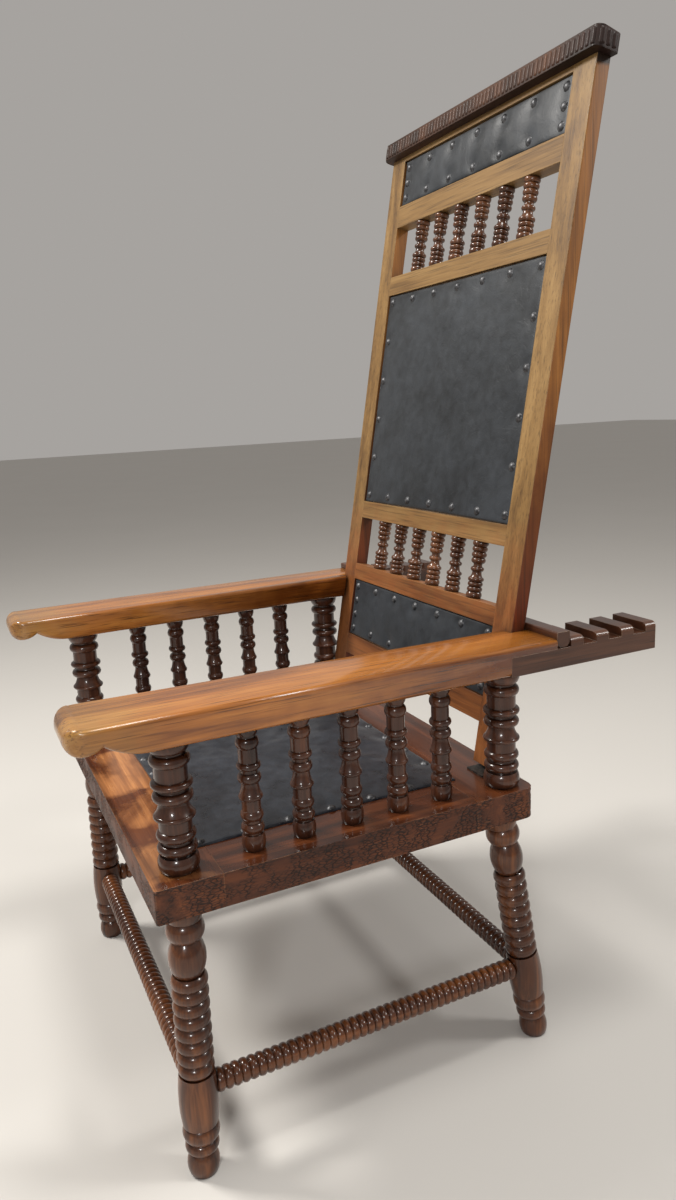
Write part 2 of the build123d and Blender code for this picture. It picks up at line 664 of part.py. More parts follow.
def back_spindle_tenons():
    """Make the round tenons of the back spindles, which pass from bay to rail."""
    middle = BACK_THICKNESS / 2
    cores = []
    for low, high in SPINDLE_BAYS.values():
        for x in spindle_places():
            cores.append(rod((x, middle, low - BACK_SPINDLE_TENON_LENGTH),
                             (x, middle, high + BACK_SPINDLE_TENON_LENGTH), BACK_SPINDLE_TENON_RADIUS))
    return cores


def back_spindles(name):
    """Turn the row of six spindles in one bay of the back."""
    low, high = SPINDLE_BAYS[name]
    middle = BACK_THICKNESS / 2
    row = []
    for x in spindle_places():
        body = turned((x, middle, low), (x, middle, high), BACK_SPINDLE_RADIUS, BACK_SPINDLE_SHARES)
        core = rod((x, middle, low - BACK_SPINDLE_TENON_LENGTH),
                   (x, middle, high + BACK_SPINDLE_TENON_LENGTH), BACK_SPINDLE_TENON_RADIUS)
        row.append(body + core)
    return Compound(children=row)


def back_rail(name):
    """Make one rail of the back with its tenons."""
    low, high = BACK_RAILS[name]
    return block((-BACK_INNER_X, 0, low), (BACK_INNER_X, BACK_THICKNESS, high)) + back_tenons(low, high)


def stile(side):
    """Make one stile of the back with eased edges and the mortises for the rails."""
    sign = SIDES[side]
    x_low, x_high = sorted((sign * BACK_INNER_X, sign * BACK_HALF_WIDTH))
    post = block((x_low, 0, STILE_FOOT), (x_high, BACK_THICKNESS, TOP_RAIL[1]))
    outer = [edge for edge in post.edges().filter_by(Axis.Z) if abs(edge.center().X) > STILE_X]
    post = fillet(outer, STILE_EDGE)
    for low, high in BACK_RAILS.values():
        post -= back_tenons(low, high)
    return post


def panel_pieces(name):
    """Make a panel's leather and the board behind it, in the back's own frame."""
    low, high = PANEL_BAYS[name]
    half_x, half_z = BACK_INNER_X - PANEL_GAP, (high - low) / 2 - PANEL_GAP
    middle = (low + high) / 2
    pad = crowned_pad(half_x, half_z, PANEL_EDGE, PANEL_CROWN, PANEL_PULL)
    face = Plane(origin=(0, PANEL_SETBACK, middle), x_dir=(1, 0, 0), z_dir=(0, -1, 0))
    board = block((-BACK_INNER_X, PANEL_SETBACK, low), (BACK_INNER_X, PANEL_SETBACK + PANEL_BOARD, high))
    return face * pad, board


def panel_nails(name):
    """Make the nails round one panel of the back."""
    low, high = PANEL_BAYS[name]
    half_x = BACK_INNER_X - PANEL_GAP - PANEL_NAIL_INSET
    half_z = (high - low) / 2 - PANEL_GAP - PANEL_NAIL_INSET
    face = Plane(origin=(0, PANEL_SETBACK - PANEL_EDGE, (low + high) / 2), x_dir=(1, 0, 0), z_dir=(0, -1, 0))
    return [face * (Pos(x, y, 0) * nail()) for x, y in rim_places(half_x, half_z, PANEL_NAILS, SIDE_NAILS[name])]


def crest_rail():
    """Make the crest: a cove below, a flat fluted band and a top that falls to the rear."""
    low = TOP_RAIL[1]
    high = low + CREST_HEIGHT
    points = [(0, low), (-CREST_FRONT, low + CREST_COVE), (-CREST_FRONT, high),
              (CREST_REAR, high - CREST_FALL), (CREST_REAR, low + CREST_COVE), (BACK_THICKNESS, low)]
    section = make_face([Line(a, b) for a, b in zip(points, points[1:] + points[:1])])
    solid = Pos(-CREST_HALF_LENGTH, 0, 0) * extrude(Plane.YZ * section, 2 * CREST_HALF_LENGTH)
    plan = block((-CREST_HALF_LENGTH, -CREST_FRONT, low), (CREST_HALF_LENGTH, CREST_REAR, high))
    upright = plan.edges().filter_by(Axis.Z).sort_by(Axis.Y)
    plan = fillet(upright[:2], CREST_CORNER)
    plan = fillet(plan.edges().filter_by(Axis.Z).sort_by(Axis.Y)[-2:], CREST_REAR_CORNER)
    return solid & plan


def knuckles(middle_only, x_low):
    """Make the knuckles of one hinge leaf on the hinge's axis, which here runs along X at the origin."""
    third = HINGE_WIDTH / 3
    spans = [(third + KNUCKLE_GAP, 2 * third - KNUCKLE_GAP)] if middle_only else [(0, third), (2 * third, HINGE_WIDTH)]
    return [rod((x_low + start, 0, 0), (x_low + end, 0, 0), KNUCKLE_RADIUS) for start, end in spans]


def leaf_screws(x_middle):
    """Give the places of the two screws of a leaf, across the hinge and away from the pin."""
    reach = KNUCKLE_RADIUS + HINGE_LEAF_LENGTH / 2
    return [(x_middle + sign * SCREW_PITCH / 2, reach) for sign in (-1, 1)]


def screw():
    """Make a countersunk wood screw with a slot, head up at z = 0."""
    head = Solid.make_cone(SCREW_RADIUS, SCREW_HEAD, HINGE_LEAF)
    head = Pos(0, 0, -HINGE_LEAF) * head
    body = head + rod((0, 0, -SCREW_LENGTH), (0, 0, -HINGE_LEAF / 2), SCREW_RADIUS)
    slot = block((-SCREW_HEAD, -SCREW_RADIUS / 4, -HINGE_LEAF / 3), (SCREW_HEAD, SCREW_RADIUS / 4, HINGE_LEAF))
    return body - slot


def hinge_leaf(x_middle, middle_only):
    """Make a leaf that lies on the plane z = -knuckle radius and runs from the axis towards -Y."""
    x_low = x_middle - HINGE_WIDTH / 2
    third = HINGE_WIDTH / 3
    plate_low = -KNUCKLE_RADIUS
    plate = block((x_low, -KNUCKLE_RADIUS - HINGE_LEAF_LENGTH, plate_low),
                  (x_low + HINGE_WIDTH, -KNUCKLE_RADIUS - KNUCKLE_GAP, plate_low + HINGE_LEAF))
    parts = knuckles(middle_only, x_low)
    spans = [(third + KNUCKLE_GAP, 2 * third - KNUCKLE_GAP)] if middle_only else [(0, third), (2 * third, HINGE_WIDTH)]
    for start, end in spans:
        parts.append(block((x_low + start, -KNUCKLE_RADIUS - 2 * KNUCKLE_GAP, plate_low),
                           (x_low + end, 0, plate_low + HINGE_LEAF)))
    leaf = plate + parts
    leaf -= rod((x_low - OVERRUN, 0, 0), (x_low + HINGE_WIDTH + OVERRUN, 0, 0), PIN_RADIUS + PIN_GAP)
    for x, reach in leaf_screws(x_middle):
        top = plate_low + HINGE_LEAF
        leaf -= rod((x, -reach, top - 2 * HINGE_LEAF), (x, -reach, top + HINGE_LEAF), SCREW_RADIUS)
        leaf -= Pos(x, -reach, top - HINGE_LEAF) * Solid.make_cone(SCREW_RADIUS, SCREW_HEAD, HINGE_LEAF)
    return leaf


def screws_on_leaf(x_middle):
    """Place the two screws of a leaf in the leaf's own frame."""
    top = HINGE_LEAF - KNUCKLE_RADIUS
    return [Pos(x, -reach, top) * screw() for x, reach in leaf_screws(x_middle)]


def hinge_pin(x_middle):
    """Make a hinge pin with its two small heads."""
    half = HINGE_WIDTH / 2
    pin = rod((x_middle - half, 0, 0), (x_middle + half, 0, 0), PIN_RADIUS)
    for sign in (-1, 1):
        start = x_middle + sign * (half + KNUCKLE_GAP)
        end = start + sign * PIN_HEAD
        pin += rod((start, 0, 0), (end, 0, 0), (PIN_RADIUS + KNUCKLE_RADIUS) / 2)
        pin += rod((x_middle, 0, 0), (start, 0, 0), PIN_RADIUS)
    return pin


RAIL_LEAF_PLACE = Location((0, HINGE_Y, HINGE_HEIGHT))
BACK_LEAF_PLACE = Location((0, HINGE_DEPTH, HINGE_RISE), (-90, 0, 0))


def hinge_pieces(side):
    """Make one hinge: the leaf on the rail, the pin and the leaf on the stile, with their screws."""
    x = SIDES[side] * STILE_X
    pieces = {
        f"{side}_hinge_rail_leaf": RAIL_LEAF_PLACE * hinge_leaf(x, False),
        f"{side}_hinge_pin": RAIL_LEAF_PLACE * hinge_pin(x),
        f"{side}_hinge_stile_leaf": BACK_PLACE * (BACK_LEAF_PLACE * hinge_leaf(x, True)),
    }
    rail_screws = [RAIL_LEAF_PLACE * piece for piece in screws_on_leaf(x)]
    stile_screws = [BACK_PLACE * (BACK_LEAF_PLACE * piece) for piece in screws_on_leaf(x)]
    return pieces, rail_screws, stile_screws


def build():
    """Make every node of the chair."""
    nodes = {}
    left_uprights, left_holes = upright_pieces("left")
    right_uprights, right_holes = upright_pieces("right")
    nodes.update(left_uprights)
    nodes.update(right_uprights)
    rail_screws, stile_screws = [], []
    for side in SIDES:
        pieces, on_rail, on_stile = hinge_pieces(side)
        nodes.update(pieces)
        rail_screws += on_rail
        stile_screws += on_stile
    nodes["rail_hinge_screws"] = Compound(children=rail_screws)
    nodes["stile_hinge_screws"] = Compound(children=stile_screws)
    nodes.update(seat_rails(left_holes + right_holes))
    cores = {name: stretcher_core(name) for name in STRETCHER_ENDS}
    for side in SIDES:
        for end in ("front", "rear"):
            nodes[f"{end}_{side}_leg"] = leg(side, end, [cores[f"{side}_stretcher"], cores[f"{end}_stretcher"]])
    for name in STRETCHER_ENDS:
        nodes[name] = stretcher(name)
    nodes["left_arm"] = arm("left", left_holes)
    nodes["right_arm"] = arm("right", right_holes)
    nodes["left_rack"] = rack("left", left_holes)
    nodes["right_rack"] = rack("right", right_holes)
    nodes["seat_leather"] = seat_leather()
    nodes["seat_board"] = seat_board()
    nodes["corner_blocks"] = corner_blocks()
    nodes["seat_nails"] = seat_nails()
    nodes["crossbar"] = crossbar()
    spindle_tenons = back_spindle_tenons()
    for name in BACK_RAILS:
        nodes[name] = BACK_PLACE * (back_rail(name) - spindle_tenons)
    for side in SIDES:
        nodes[f"{side}_stile"] = BACK_PLACE * stile(side)
    for name in SPINDLE_BAYS:
        nodes[name] = BACK_PLACE * back_spindles(name)
    boards, nails = [], []
    for name in PANEL_BAYS:
        pad, board = panel_pieces(name)
        nodes[f"{name}_leather"] = BACK_PLACE * pad
        boards.append(BACK_PLACE * board)
        nails += [BACK_PLACE * piece for piece in panel_nails(name)]
    nodes["panel_boards"] = Compound(children=boards)
    nodes["panel_nails"] = Compound(children=nails)
    nodes["crest_rail"] = BACK_PLACE * crest_rail()
    return nodes


os.makedirs("parts", exist_ok=True)
CENTRED = Pos(0, -MIDDLE_Y, 0)
for node_name, shape in build().items():
    export_step(CENTRED * shape, f"parts/{node_name}.step")
print("hinge axis y, z:", round(HINGE_Y - MIDDLE_Y, 3), round(HINGE_HEIGHT, 3))
print("notch fronts y:", [round(FIRST_NOTCH_Y + index * NOTCH_PITCH - MIDDLE_Y, 3) for index in range(NOTCH_COUNT)])
print("notch width, floor, top:", round(NOTCH_WIDTH, 3), NOTCH_FLOOR, ARM_TOP)
print("feet y:", round(FRONT_POST_Y - FRONT_FOOT_FORWARD - MIDDLE_Y, 3), round(REAR_POST_Y + REAR_FOOT_BACK - MIDDLE_Y, 3))
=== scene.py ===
"""Dresses a reclining armchair with turned spindles: wood, leather, nails, light and camera."""

from __future__ import annotations

import json
import logging
from dataclasses import dataclass, field, replace
from enum import Enum
from math import exp, radians, sqrt
from typing import Any, Callable

import bmesh
import bpy
from mathutils import Matrix, Vector, noise

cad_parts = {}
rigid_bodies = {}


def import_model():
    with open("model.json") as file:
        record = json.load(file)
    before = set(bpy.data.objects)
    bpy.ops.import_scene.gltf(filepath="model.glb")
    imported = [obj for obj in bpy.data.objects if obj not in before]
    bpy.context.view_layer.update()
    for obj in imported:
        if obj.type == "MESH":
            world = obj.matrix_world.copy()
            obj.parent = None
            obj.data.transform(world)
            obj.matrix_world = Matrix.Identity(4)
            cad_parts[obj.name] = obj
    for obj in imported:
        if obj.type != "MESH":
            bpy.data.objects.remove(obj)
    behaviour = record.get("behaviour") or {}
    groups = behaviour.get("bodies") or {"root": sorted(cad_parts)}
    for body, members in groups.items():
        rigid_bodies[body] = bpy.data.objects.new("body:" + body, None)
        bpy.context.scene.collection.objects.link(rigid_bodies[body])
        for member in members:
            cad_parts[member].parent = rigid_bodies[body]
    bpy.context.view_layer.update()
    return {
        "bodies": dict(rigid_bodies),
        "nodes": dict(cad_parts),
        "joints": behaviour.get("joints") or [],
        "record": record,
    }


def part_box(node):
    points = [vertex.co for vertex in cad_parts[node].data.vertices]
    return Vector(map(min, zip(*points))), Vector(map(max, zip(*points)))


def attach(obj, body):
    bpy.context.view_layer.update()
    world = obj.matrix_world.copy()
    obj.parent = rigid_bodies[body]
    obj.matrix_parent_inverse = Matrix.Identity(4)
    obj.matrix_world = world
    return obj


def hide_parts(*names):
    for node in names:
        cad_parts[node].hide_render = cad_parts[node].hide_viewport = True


LOG = logging.getLogger("armchair")
MM = 0.001
FIXED, SWINGING = "chair_frame", "back_frame"
SIDES = {"left": 1, "right": -1}
ENDS = ("front", "rear")
NUMBER, VECTOR = "NodeSocketFloat", "NodeSocketVector"

Triple = tuple[float, float, float]
Colour = Triple
Range = tuple[float, float]

# Corners of the CAD meshes closer than this are one corner.
WELD = 0.004 * MM
# Faces of a CAD mesh that meet at more than this keep a sharp edge.
CAD_CREASE = radians(30)
# Sockets of the Mix node when it mixes colours.
MIX_SHARE, MIX_FIRST, MIX_SECOND, MIX_RESULT = 0, 6, 7, 2


def opaque(colour: Colour) -> tuple[float, float, float, float]:
    """Returns a colour with full alpha."""
    return (*colour, 1.0)


def scaled(colour: Colour, share: float) -> Colour:
    """Returns a colour made darker or lighter by a share."""
    return tuple(share * part for part in colour)


class Grain(Enum):
    """Which way the fibres of a piece of wood run, as the stretch of the pattern on each axis."""

    ACROSS = (0.05, 1.0, 1.0)
    DEEP = (1.0, 0.05, 1.0)
    UP = (1.0, 1.0, 0.05)
    NONE = (1.0, 1.0, 1.0)


@dataclass(frozen=True)
class Noise:
    """Soft noise: how many features a metre holds, its finer layers, and how far it is twisted."""

    scale: float
    detail: float = 3.0
    twist: float = 0.0


@dataclass(frozen=True)
class Cracks:
    """Broken cracks in old varnish: the bent borders of flattened cells, kept in patches only."""

    bend: Noise = Noise(70.0, 2.0)
    bend_reach: Triple = (7 * MM, 7 * MM, 5 * MM)
    flattening: Triple = (1.0, 1.0, 2.7)
    cells: float = 125.0
    width: float = 0.15
    softness: float = 0.10
    patches: Noise = Noise(34.0, 3.0)
    patch_range: Range = (0.38, 0.50)


CRACKS = Cracks()


def operator(operation: str, swapped: bool = False) -> Callable[[Wire, Any], Wire]:
    """Makes the method of one operator on wires.

    Args:
        operation: the Math node's operation.
        swapped: whether the wire stands on the operator's right.

    Returns:
        A method that adds the Math node and returns its result as a wire.
    """
    def method(self: Wire, other: Any) -> Wire:
        """Adds the Math node."""
        pair = (other, self) if swapped else (self, other)
        return self.board.node("ShaderNodeMath", {"operation": operation}, dict(enumerate(pair)))
    return method


class Wire:
    """One value in a node tree, which takes part in plain sums; greater than gives 1 or 0."""

    __add__ = operator("ADD")
    __sub__ = operator("SUBTRACT")
    __rsub__ = operator("SUBTRACT", swapped=True)
    __mul__ = operator("MULTIPLY")
    __pow__ = operator("POWER")
    __gt__ = operator("GREATER_THAN")

    def __init__(self, board: Board, socket: bpy.types.NodeSocket) -> None:
        """Keeps the tree and the socket."""
        self.board = board
        self.socket = socket

    def ramp(self, low: float, high: float) -> Wire:
        """Gives 0 at low, 1 at high and a straight line between, clamped."""
        feeds = {0: self, 1: low, 2: high, 3: 0.0, 4: 1.0}
        return self.board.node("ShaderNodeMapRange", {"clamp": True}, feeds)


class Board:
    """A node tree with one way to add nodes to it."""

    def __init__(self, tree: bpy.types.NodeTree) -> None:
        """Keeps the tree."""
        self.tree = tree

    def node(self, kind: str, settings: dict | None = None, feeds: dict | None = None,
             out: Any = 0) -> Wire:
        """Adds a node.

        Args:
            kind: the node's type.
            settings: its own settings, set first.
            feeds: a wire or a value for each input, by name or index.
            out: the output to return, by name or index.

        Returns:
            The chosen output as a wire.
        """
        made = self.tree.nodes.new(kind)
        for name, value in (settings or {}).items():
            setattr(made, name, value)
        for name, value in (feeds or {}).items():
            self.feed(made.inputs[name], value)
        return Wire(self, made.outputs[out])

    def feed(self, target: bpy.types.NodeSocket, value: Any) -> None:
        """Links a wire to a socket, or sets the socket's value."""
        if isinstance(value, Wire):
            self.tree.links.new(value.socket, target)
        else:
            target.default_value = value

    def reckon(self, operation: str, *values: Any, out: Any = 0) -> Wire:
        """Adds a Vector Math node, with a wire or a value for each of its first inputs."""
        settings = {"operation": operation}
        return self.node("ShaderNodeVectorMath", settings, dict(enumerate(values)), out)

    def part(self, vector: Wire, axis: int) -> Wire:
        """Gives one coordinate of a vector."""
        return self.node("ShaderNodeSeparateXYZ", None, {0: vector}, out=axis)

    def cloud(self, place: Wire, pattern: Noise, out: Any = 0) -> Wire:
        """Gives soft noise around one half, of a pattern, read at a place."""
        feeds = {"Vector": place, "Scale": pattern.scale, "Detail": pattern.detail,
                 "Distortion": pattern.twist}
        return self.node("ShaderNodeTexNoise", None, feeds, out)

    def crackle(self, place: Wire) -> Wire:
        """Gives 1 along the cracks in old varnish and 0 between them, at a place on the object."""
        wobble = self.cloud(place, CRACKS.bend, out=1)
        moved = self.reckon("MULTIPLY_ADD", wobble, CRACKS.bend_reach, place)
        flat = self.reckon("MULTIPLY", moved, CRACKS.flattening)
        edge = self.node("ShaderNodeTexVoronoi", {"feature": "DISTANCE_TO_EDGE"},
                         {"Vector": flat, "Scale": CRACKS.cells}, out="Distance")
        patch = self.cloud(place, CRACKS.patches)
        line = (CRACKS.width - edge).ramp(0.0, CRACKS.softness)
        return line * patch.ramp(*CRACKS.patch_range)


class MaterialBoard(Board):
    """The nodes of one material."""

    bevel_samples = 4
    hollow_samples = 6
    edge_turn_range = (0.01, 0.22)
    facing_range = (0.3, 0.7)

    def __init__(self, name: str) -> None:
        """Starts a material with its one shader."""
        self.material = bpy.data.materials.new(name)
        self.material.use_nodes = True
        super().__init__(self.material.node_tree)
        self.shader = self.tree.nodes["Principled BSDF"]
        self.place = self.node("ShaderNodeTexCoord", out="Object")

    def shade(self, **values: Any) -> None:
        """Sets or links sockets of the shader, named in words joined by underscores."""
        for name, value in values.items():
            self.feed(self.shader.inputs[name.replace("_", " ")], value)

    def stretched(self, stretch: Triple) -> Wire:
        """Gives the place on the piece, stretched along its grain."""
        return self.node("ShaderNodeMapping", None, {"Vector": self.place, "Scale": stretch})

    def blend(self, share: Any, first: Any, second: Any) -> Wire:
        """Mixes two colours by a share."""
        first = first if isinstance(first, Wire) else opaque(first)
        second = second if isinstance(second, Wire) else opaque(second)
        feeds = {MIX_SHARE: share, MIX_FIRST: first, MIX_SECOND: second}
        return self.node("ShaderNodeMix", {"data_type": "RGBA"}, feeds, out=MIX_RESULT)

    def tinted(self, share: Wire, colour: Wire, tint: Colour) -> Wire:
        """Multiplies a colour by a tint, by a share."""
        settings = {"data_type": "RGBA", "blend_type": "MULTIPLY"}
        feeds = {MIX_SHARE: share, MIX_FIRST: colour, MIX_SECOND: opaque(tint)}
        return self.node("ShaderNodeMix", settings, feeds, out=MIX_RESULT)

    def soft_edges(self, radius: float) -> Wire:
        """Gives the surface's normal, turned smoothly round edges."""
        return self.node("ShaderNodeBevel", {"samples": self.bevel_samples}, {"Radius": radius})

    def edge_turn(self, rounded: Wire) -> Wire:
        """Gives how far a rounded normal is turned from the true one: high along edges."""
        true = self.node("ShaderNodeNewGeometry", out="Normal")
        level = self.reckon("DOT_PRODUCT", rounded, true, out="Value")
        return (1.0 - level).ramp(*self.edge_turn_range)

    def hollows(self, reach: float) -> Wire:
        """Gives 1 in hollows and 0 on what stands free, within a reach."""
        settings = {"samples": self.hollow_samples}
        open_share = self.node("ShaderNodeAmbientOcclusion", settings, {"Distance": reach}, "AO")
        return 1.0 - open_share

    def bump(self, height: Wire, depth: float, normal: Wire | None = None) -> Wire:
        """Gives the normal of a surface raised by a height times a depth."""
        feeds: dict[str, Any] = {"Height": height, "Distance": depth, "Strength": 1.0}
        if normal is not None:
            feeds["Normal"] = normal
        return self.node("ShaderNodeBump", None, feeds)

    def facing(self, axis: int) -> Wire:
        """Gives 1 on faces that look along an axis, either way, and 0 on the others."""
        normal = self.node("ShaderNodeTexCoord", out="Normal")
        part = self.part(normal, axis)
        return (part * part).ramp(*self.facing_range)


@dataclass(frozen=True)
class ToneRampEdge:
    """How the edge of every tone ramp wavers, and how a patchy one is broken into islands."""

    edge: Noise = Noise(40.0, 3.0)
    waver: float = 0.8
    islands: Noise = Noise(11.0, 4.0, 0.8)
    island_range: Range = (0.44, 0.58)


TONE_RAMP_EDGE = ToneRampEdge()


@dataclass(frozen=True)
class ToneRamp:
    """A tone that grows along one axis from none at the start to full, on all faces or on some.

    The faces are named by the axis that they look along. A patchy one is broken into islands.
    It lays real marks and paler patches from use, painted shade, and changes of tone along a
    piece.
    """

    axis: int
    start: float
    full: float
    tint: Colour
    faces: int | None = None
    patchy: bool = False

    def lay(self, board: MaterialBoard, colour: Wire) -> Wire:
        """Lays the tone over a colour."""
        run = self.full - self.start
        wobble = board.cloud(board.place, TONE_RAMP_EDGE.edge) * run * TONE_RAMP_EDGE.waver
        # Noise is one half on average, so that the wavering edge lies half a waver further on.
        shift = TONE_RAMP_EDGE.waver / 2 * run
        place = board.part(board.place, self.axis)
        share = (place + wobble).ramp(self.start + shift, self.full + shift)
        if self.faces is not None:
            share = share * board.facing(self.faces)
        if self.patchy:
            islands = board.cloud(board.place, TONE_RAMP_EDGE.islands)
            share = share * islands.ramp(*TONE_RAMP_EDGE.island_range)
        return board.tinted(share, colour, self.tint)


@dataclass(frozen=True)
class WoodPattern:
    """What all woods share: their noises, and how these mix into tone, height and gloss."""

    figure: Noise = Noise(42.0, 4.0, 0.8)
    fibre: Noise = Noise(380.0, 2.0)
    broad: Noise = Noise(7.0, 2.0)
    edge_patching: Noise = Noise(26.0, 4.0)
    pores: Noise = Noise(620.0, 2.0)
    figure_tone: float = 0.6
    fibre_tone: float = 0.18
    broad_tone: float = 0.22
    tone_range: Range = (0.34, 0.66)
    edge_patch_range: Range = (0.38, 0.62)
    pore_range: Range = (0.56, 0.68)
    pore_stretch: float = 0.4
    pore_tone: float = 0.35
    grime_and_shade_tone: float = 0.12
    crack_tone: float = 0.2
    crack_share: float = 0.9
    fibre_height: float = 0.5
    figure_height: float = 0.3
    pore_height: float = 0.6
    depth: float = 0.12 * MM
    broad_gloss: float = 0.16
    figure_gloss: float = 0.14
    mean_gloss: float = 0.15
    cracked_gloss: float = 0.22
    ior: float = 1.5


WOOD = WoodPattern()


@dataclass(frozen=True)
class WoodFinish:
    """A varnished wood: its tones from deep to pale, its gloss, its edges paled by use and by a
    painted highlight, and its hollows darkened by dirt and painted shade.
    """

    name: str
    deep: Colour
    body: Colour
    pale: Colour
    worn_edge_and_highlight: Colour
    edge_wear_and_highlight: float
    grime_and_shade: float
    roughness: float
    coat: float
    edge: float = 1.6 * MM
    coat_roughness: float = 0.14
    grime_and_shade_reach: float = 9 * MM
    pores: float = 0.0
    shine: float = 0.5
    cracked: bool = False
    tone_ramps: tuple[ToneRamp, ...] = ()

    def make(self, grain: Grain) -> bpy.types.Material:
        """Builds the material for one direction of grain."""
        board = MaterialBoard(f"{self.name}_{grain.name.lower()}")
        run = board.stretched(grain.value)
        figure = board.cloud(run, WOOD.figure)
        fibre = board.cloud(run, WOOD.fibre)
        broad = board.cloud(board.place, WOOD.broad)
        mixed = figure * WOOD.figure_tone + fibre * WOOD.fibre_tone + broad * WOOD.broad_tone
        tone = mixed.ramp(*WOOD.tone_range)
        lower = board.blend(tone.ramp(0.0, 0.5), self.deep, self.body)
        colour = board.blend(tone.ramp(0.5, 1.0), lower, self.pale)
        rounded = board.soft_edges(self.edge)
        patches = board.cloud(board.place, WOOD.edge_patching).ramp(*WOOD.edge_patch_range)
        worn_and_highlit_edges = board.edge_turn(rounded) * patches * self.edge_wear_and_highlight
        for tone_ramp in self.tone_ramps:
            colour = tone_ramp.lay(board, colour)
        # Paled edges, in patches: partly from use, partly a painted highlight line along the
        # edges.
        colour = board.blend(worn_and_highlit_edges, colour, self.worn_edge_and_highlight)
        height = fibre * WOOD.fibre_height + figure * WOOD.figure_height
        if self.pores > 0:
            fine = tuple(WOOD.pore_stretch * c if c < 1 else c for c in grain.value)
            pores = board.cloud(board.stretched(fine), WOOD.pores).ramp(*WOOD.pore_range)
            colour = board.blend(pores * self.pores, colour, scaled(self.deep, WOOD.pore_tone))
            height = height - pores * WOOD.pore_height
        # Darker hollows, within a reach: partly dirt, partly painted shade.
        if self.grime_and_shade > 0:
            grime_and_shade = board.hollows(self.grime_and_shade_reach) * self.grime_and_shade
            colour = board.blend(grime_and_shade, colour, scaled(self.deep, WOOD.grime_and_shade_tone))
        if self.cracked:
            cuts = board.crackle(board.place) * (1.0 - board.facing(2)) * WOOD.crack_share
            colour = board.blend(cuts, colour, scaled(self.deep, WOOD.crack_tone))
        gloss = broad * WOOD.broad_gloss + figure * WOOD.figure_gloss
        gloss = gloss + (self.roughness - WOOD.mean_gloss)
        coat: Any = self.coat
        if self.cracked:
            gloss = gloss + (1.0 - board.facing(2)) * WOOD.cracked_gloss
            coat = board.facing(2) * self.coat
        board.shade(Base_Color=colour, Roughness=gloss, Coat_Weight=coat, IOR=WOOD.ior,
                    Coat_Roughness=self.coat_roughness, Specular_IOR_Level=self.shine,
                    Normal=board.bump(height, WOOD.depth, rounded))
        return board.material


@dataclass(frozen=True)
class LeatherPattern:
    """What both leathers share: their noises, and how these mix into tone, height and gloss."""

    broad: Noise = Noise(9.0, 4.0, 0.6)
    mottle: Noise = Noise(70.0, 5.0, 0.4)
    crease: Noise = Noise(38.0, 5.0, 2.2)
    crease_stretch: Triple = (1.0, 2.2, 1.0)
    crease_range: Range = (-0.02, 0.03)
    pebbles: float = 950.0
    broad_tone: float = 0.55
    mottle_tone: float = 0.45
    tone_range: Range = (0.36, 0.66)
    pebble_height: float = 0.35
    mottle_height: float = 0.7
    fold_height: float = 0.25
    depth: float = 0.22 * MM
    mottle_gloss: float = 0.2
    broad_gloss: float = 0.14
    mean_gloss: float = 0.17
    sheen: float = 0.12
    sheen_roughness: float = 0.4
    ior: float = 1.46


HIDE = LeatherPattern()


@dataclass(frozen=True)
class LeatherFinish:
    """Old black leather: a pebbled grain, soft creases, a dull sheen, and broad paler patches that
    are partly marks of use and partly painted sheen.
    """

    name: str
    dark: Colour
    light: Colour
    roughness: float

    def make(self, grain: Grain) -> bpy.types.Material:
        """Builds the material; leather has no direction of grain."""
        board = MaterialBoard(self.name)
        broad = board.cloud(board.place, HIDE.broad)
        mottled = board.cloud(board.place, HIDE.mottle)
        cells = board.node("ShaderNodeTexVoronoi", None,
                           {"Vector": board.place, "Scale": HIDE.pebbles})
        crease = board.cloud(board.stretched(HIDE.crease_stretch), HIDE.crease)
        folds = 1.0 - (crease - 0.5).ramp(*HIDE.crease_range)
        # The broad patches of tone are partly the leather's own mottling and marks of use, partly
        # painted sheen.
        mixed = broad * HIDE.broad_tone + mottled * HIDE.mottle_tone
        colour = board.blend(mixed.ramp(*HIDE.tone_range), self.dark, self.light)
        height = cells * HIDE.pebble_height + mottled * HIDE.mottle_height
        height = height + folds * HIDE.fold_height
        gloss = mottled * HIDE.mottle_gloss + broad * HIDE.broad_gloss
        gloss = gloss + (self.roughness - HIDE.mean_gloss)
        board.shade(Base_Color=colour, Roughness=gloss, Normal=board.bump(height, HIDE.depth),
                    Sheen_Weight=HIDE.sheen, Sheen_Roughness=HIDE.sheen_roughness, IOR=HIDE.ior)
        return board.material


@dataclass(frozen=True)
class MetalFinish:
    """Dark iron or steel with a patchy, scuffed surface."""

    name: str
    dark: Colour
    bright: Colour
    roughness: float
    metal: float
    patches: Noise = Noise(240.0, 4.0, 0.5)
    patch_range: Range = (0.38, 0.66)
    patch_gloss: float = 0.3
    depth: float = 0.15 * MM

    def make(self, grain: Grain) -> bpy.types.Material:
        """Builds the material; metal has no direction of grain."""
        board = MaterialBoard(self.name)
        patches = board.cloud(board.place, self.patches)
        colour = board.blend(patches.ramp(*self.patch_range), self.dark, self.bright)
        gloss = patches * self.patch_gloss + (self.roughness - self.patch_gloss / 2)
        board.shade(Base_Color=colour, Metallic=self.metal, Roughness=gloss,
                    Normal=board.bump(patches, self.depth))
        return board.material


Finish = WoodFinish | LeatherFinish | MetalFinish

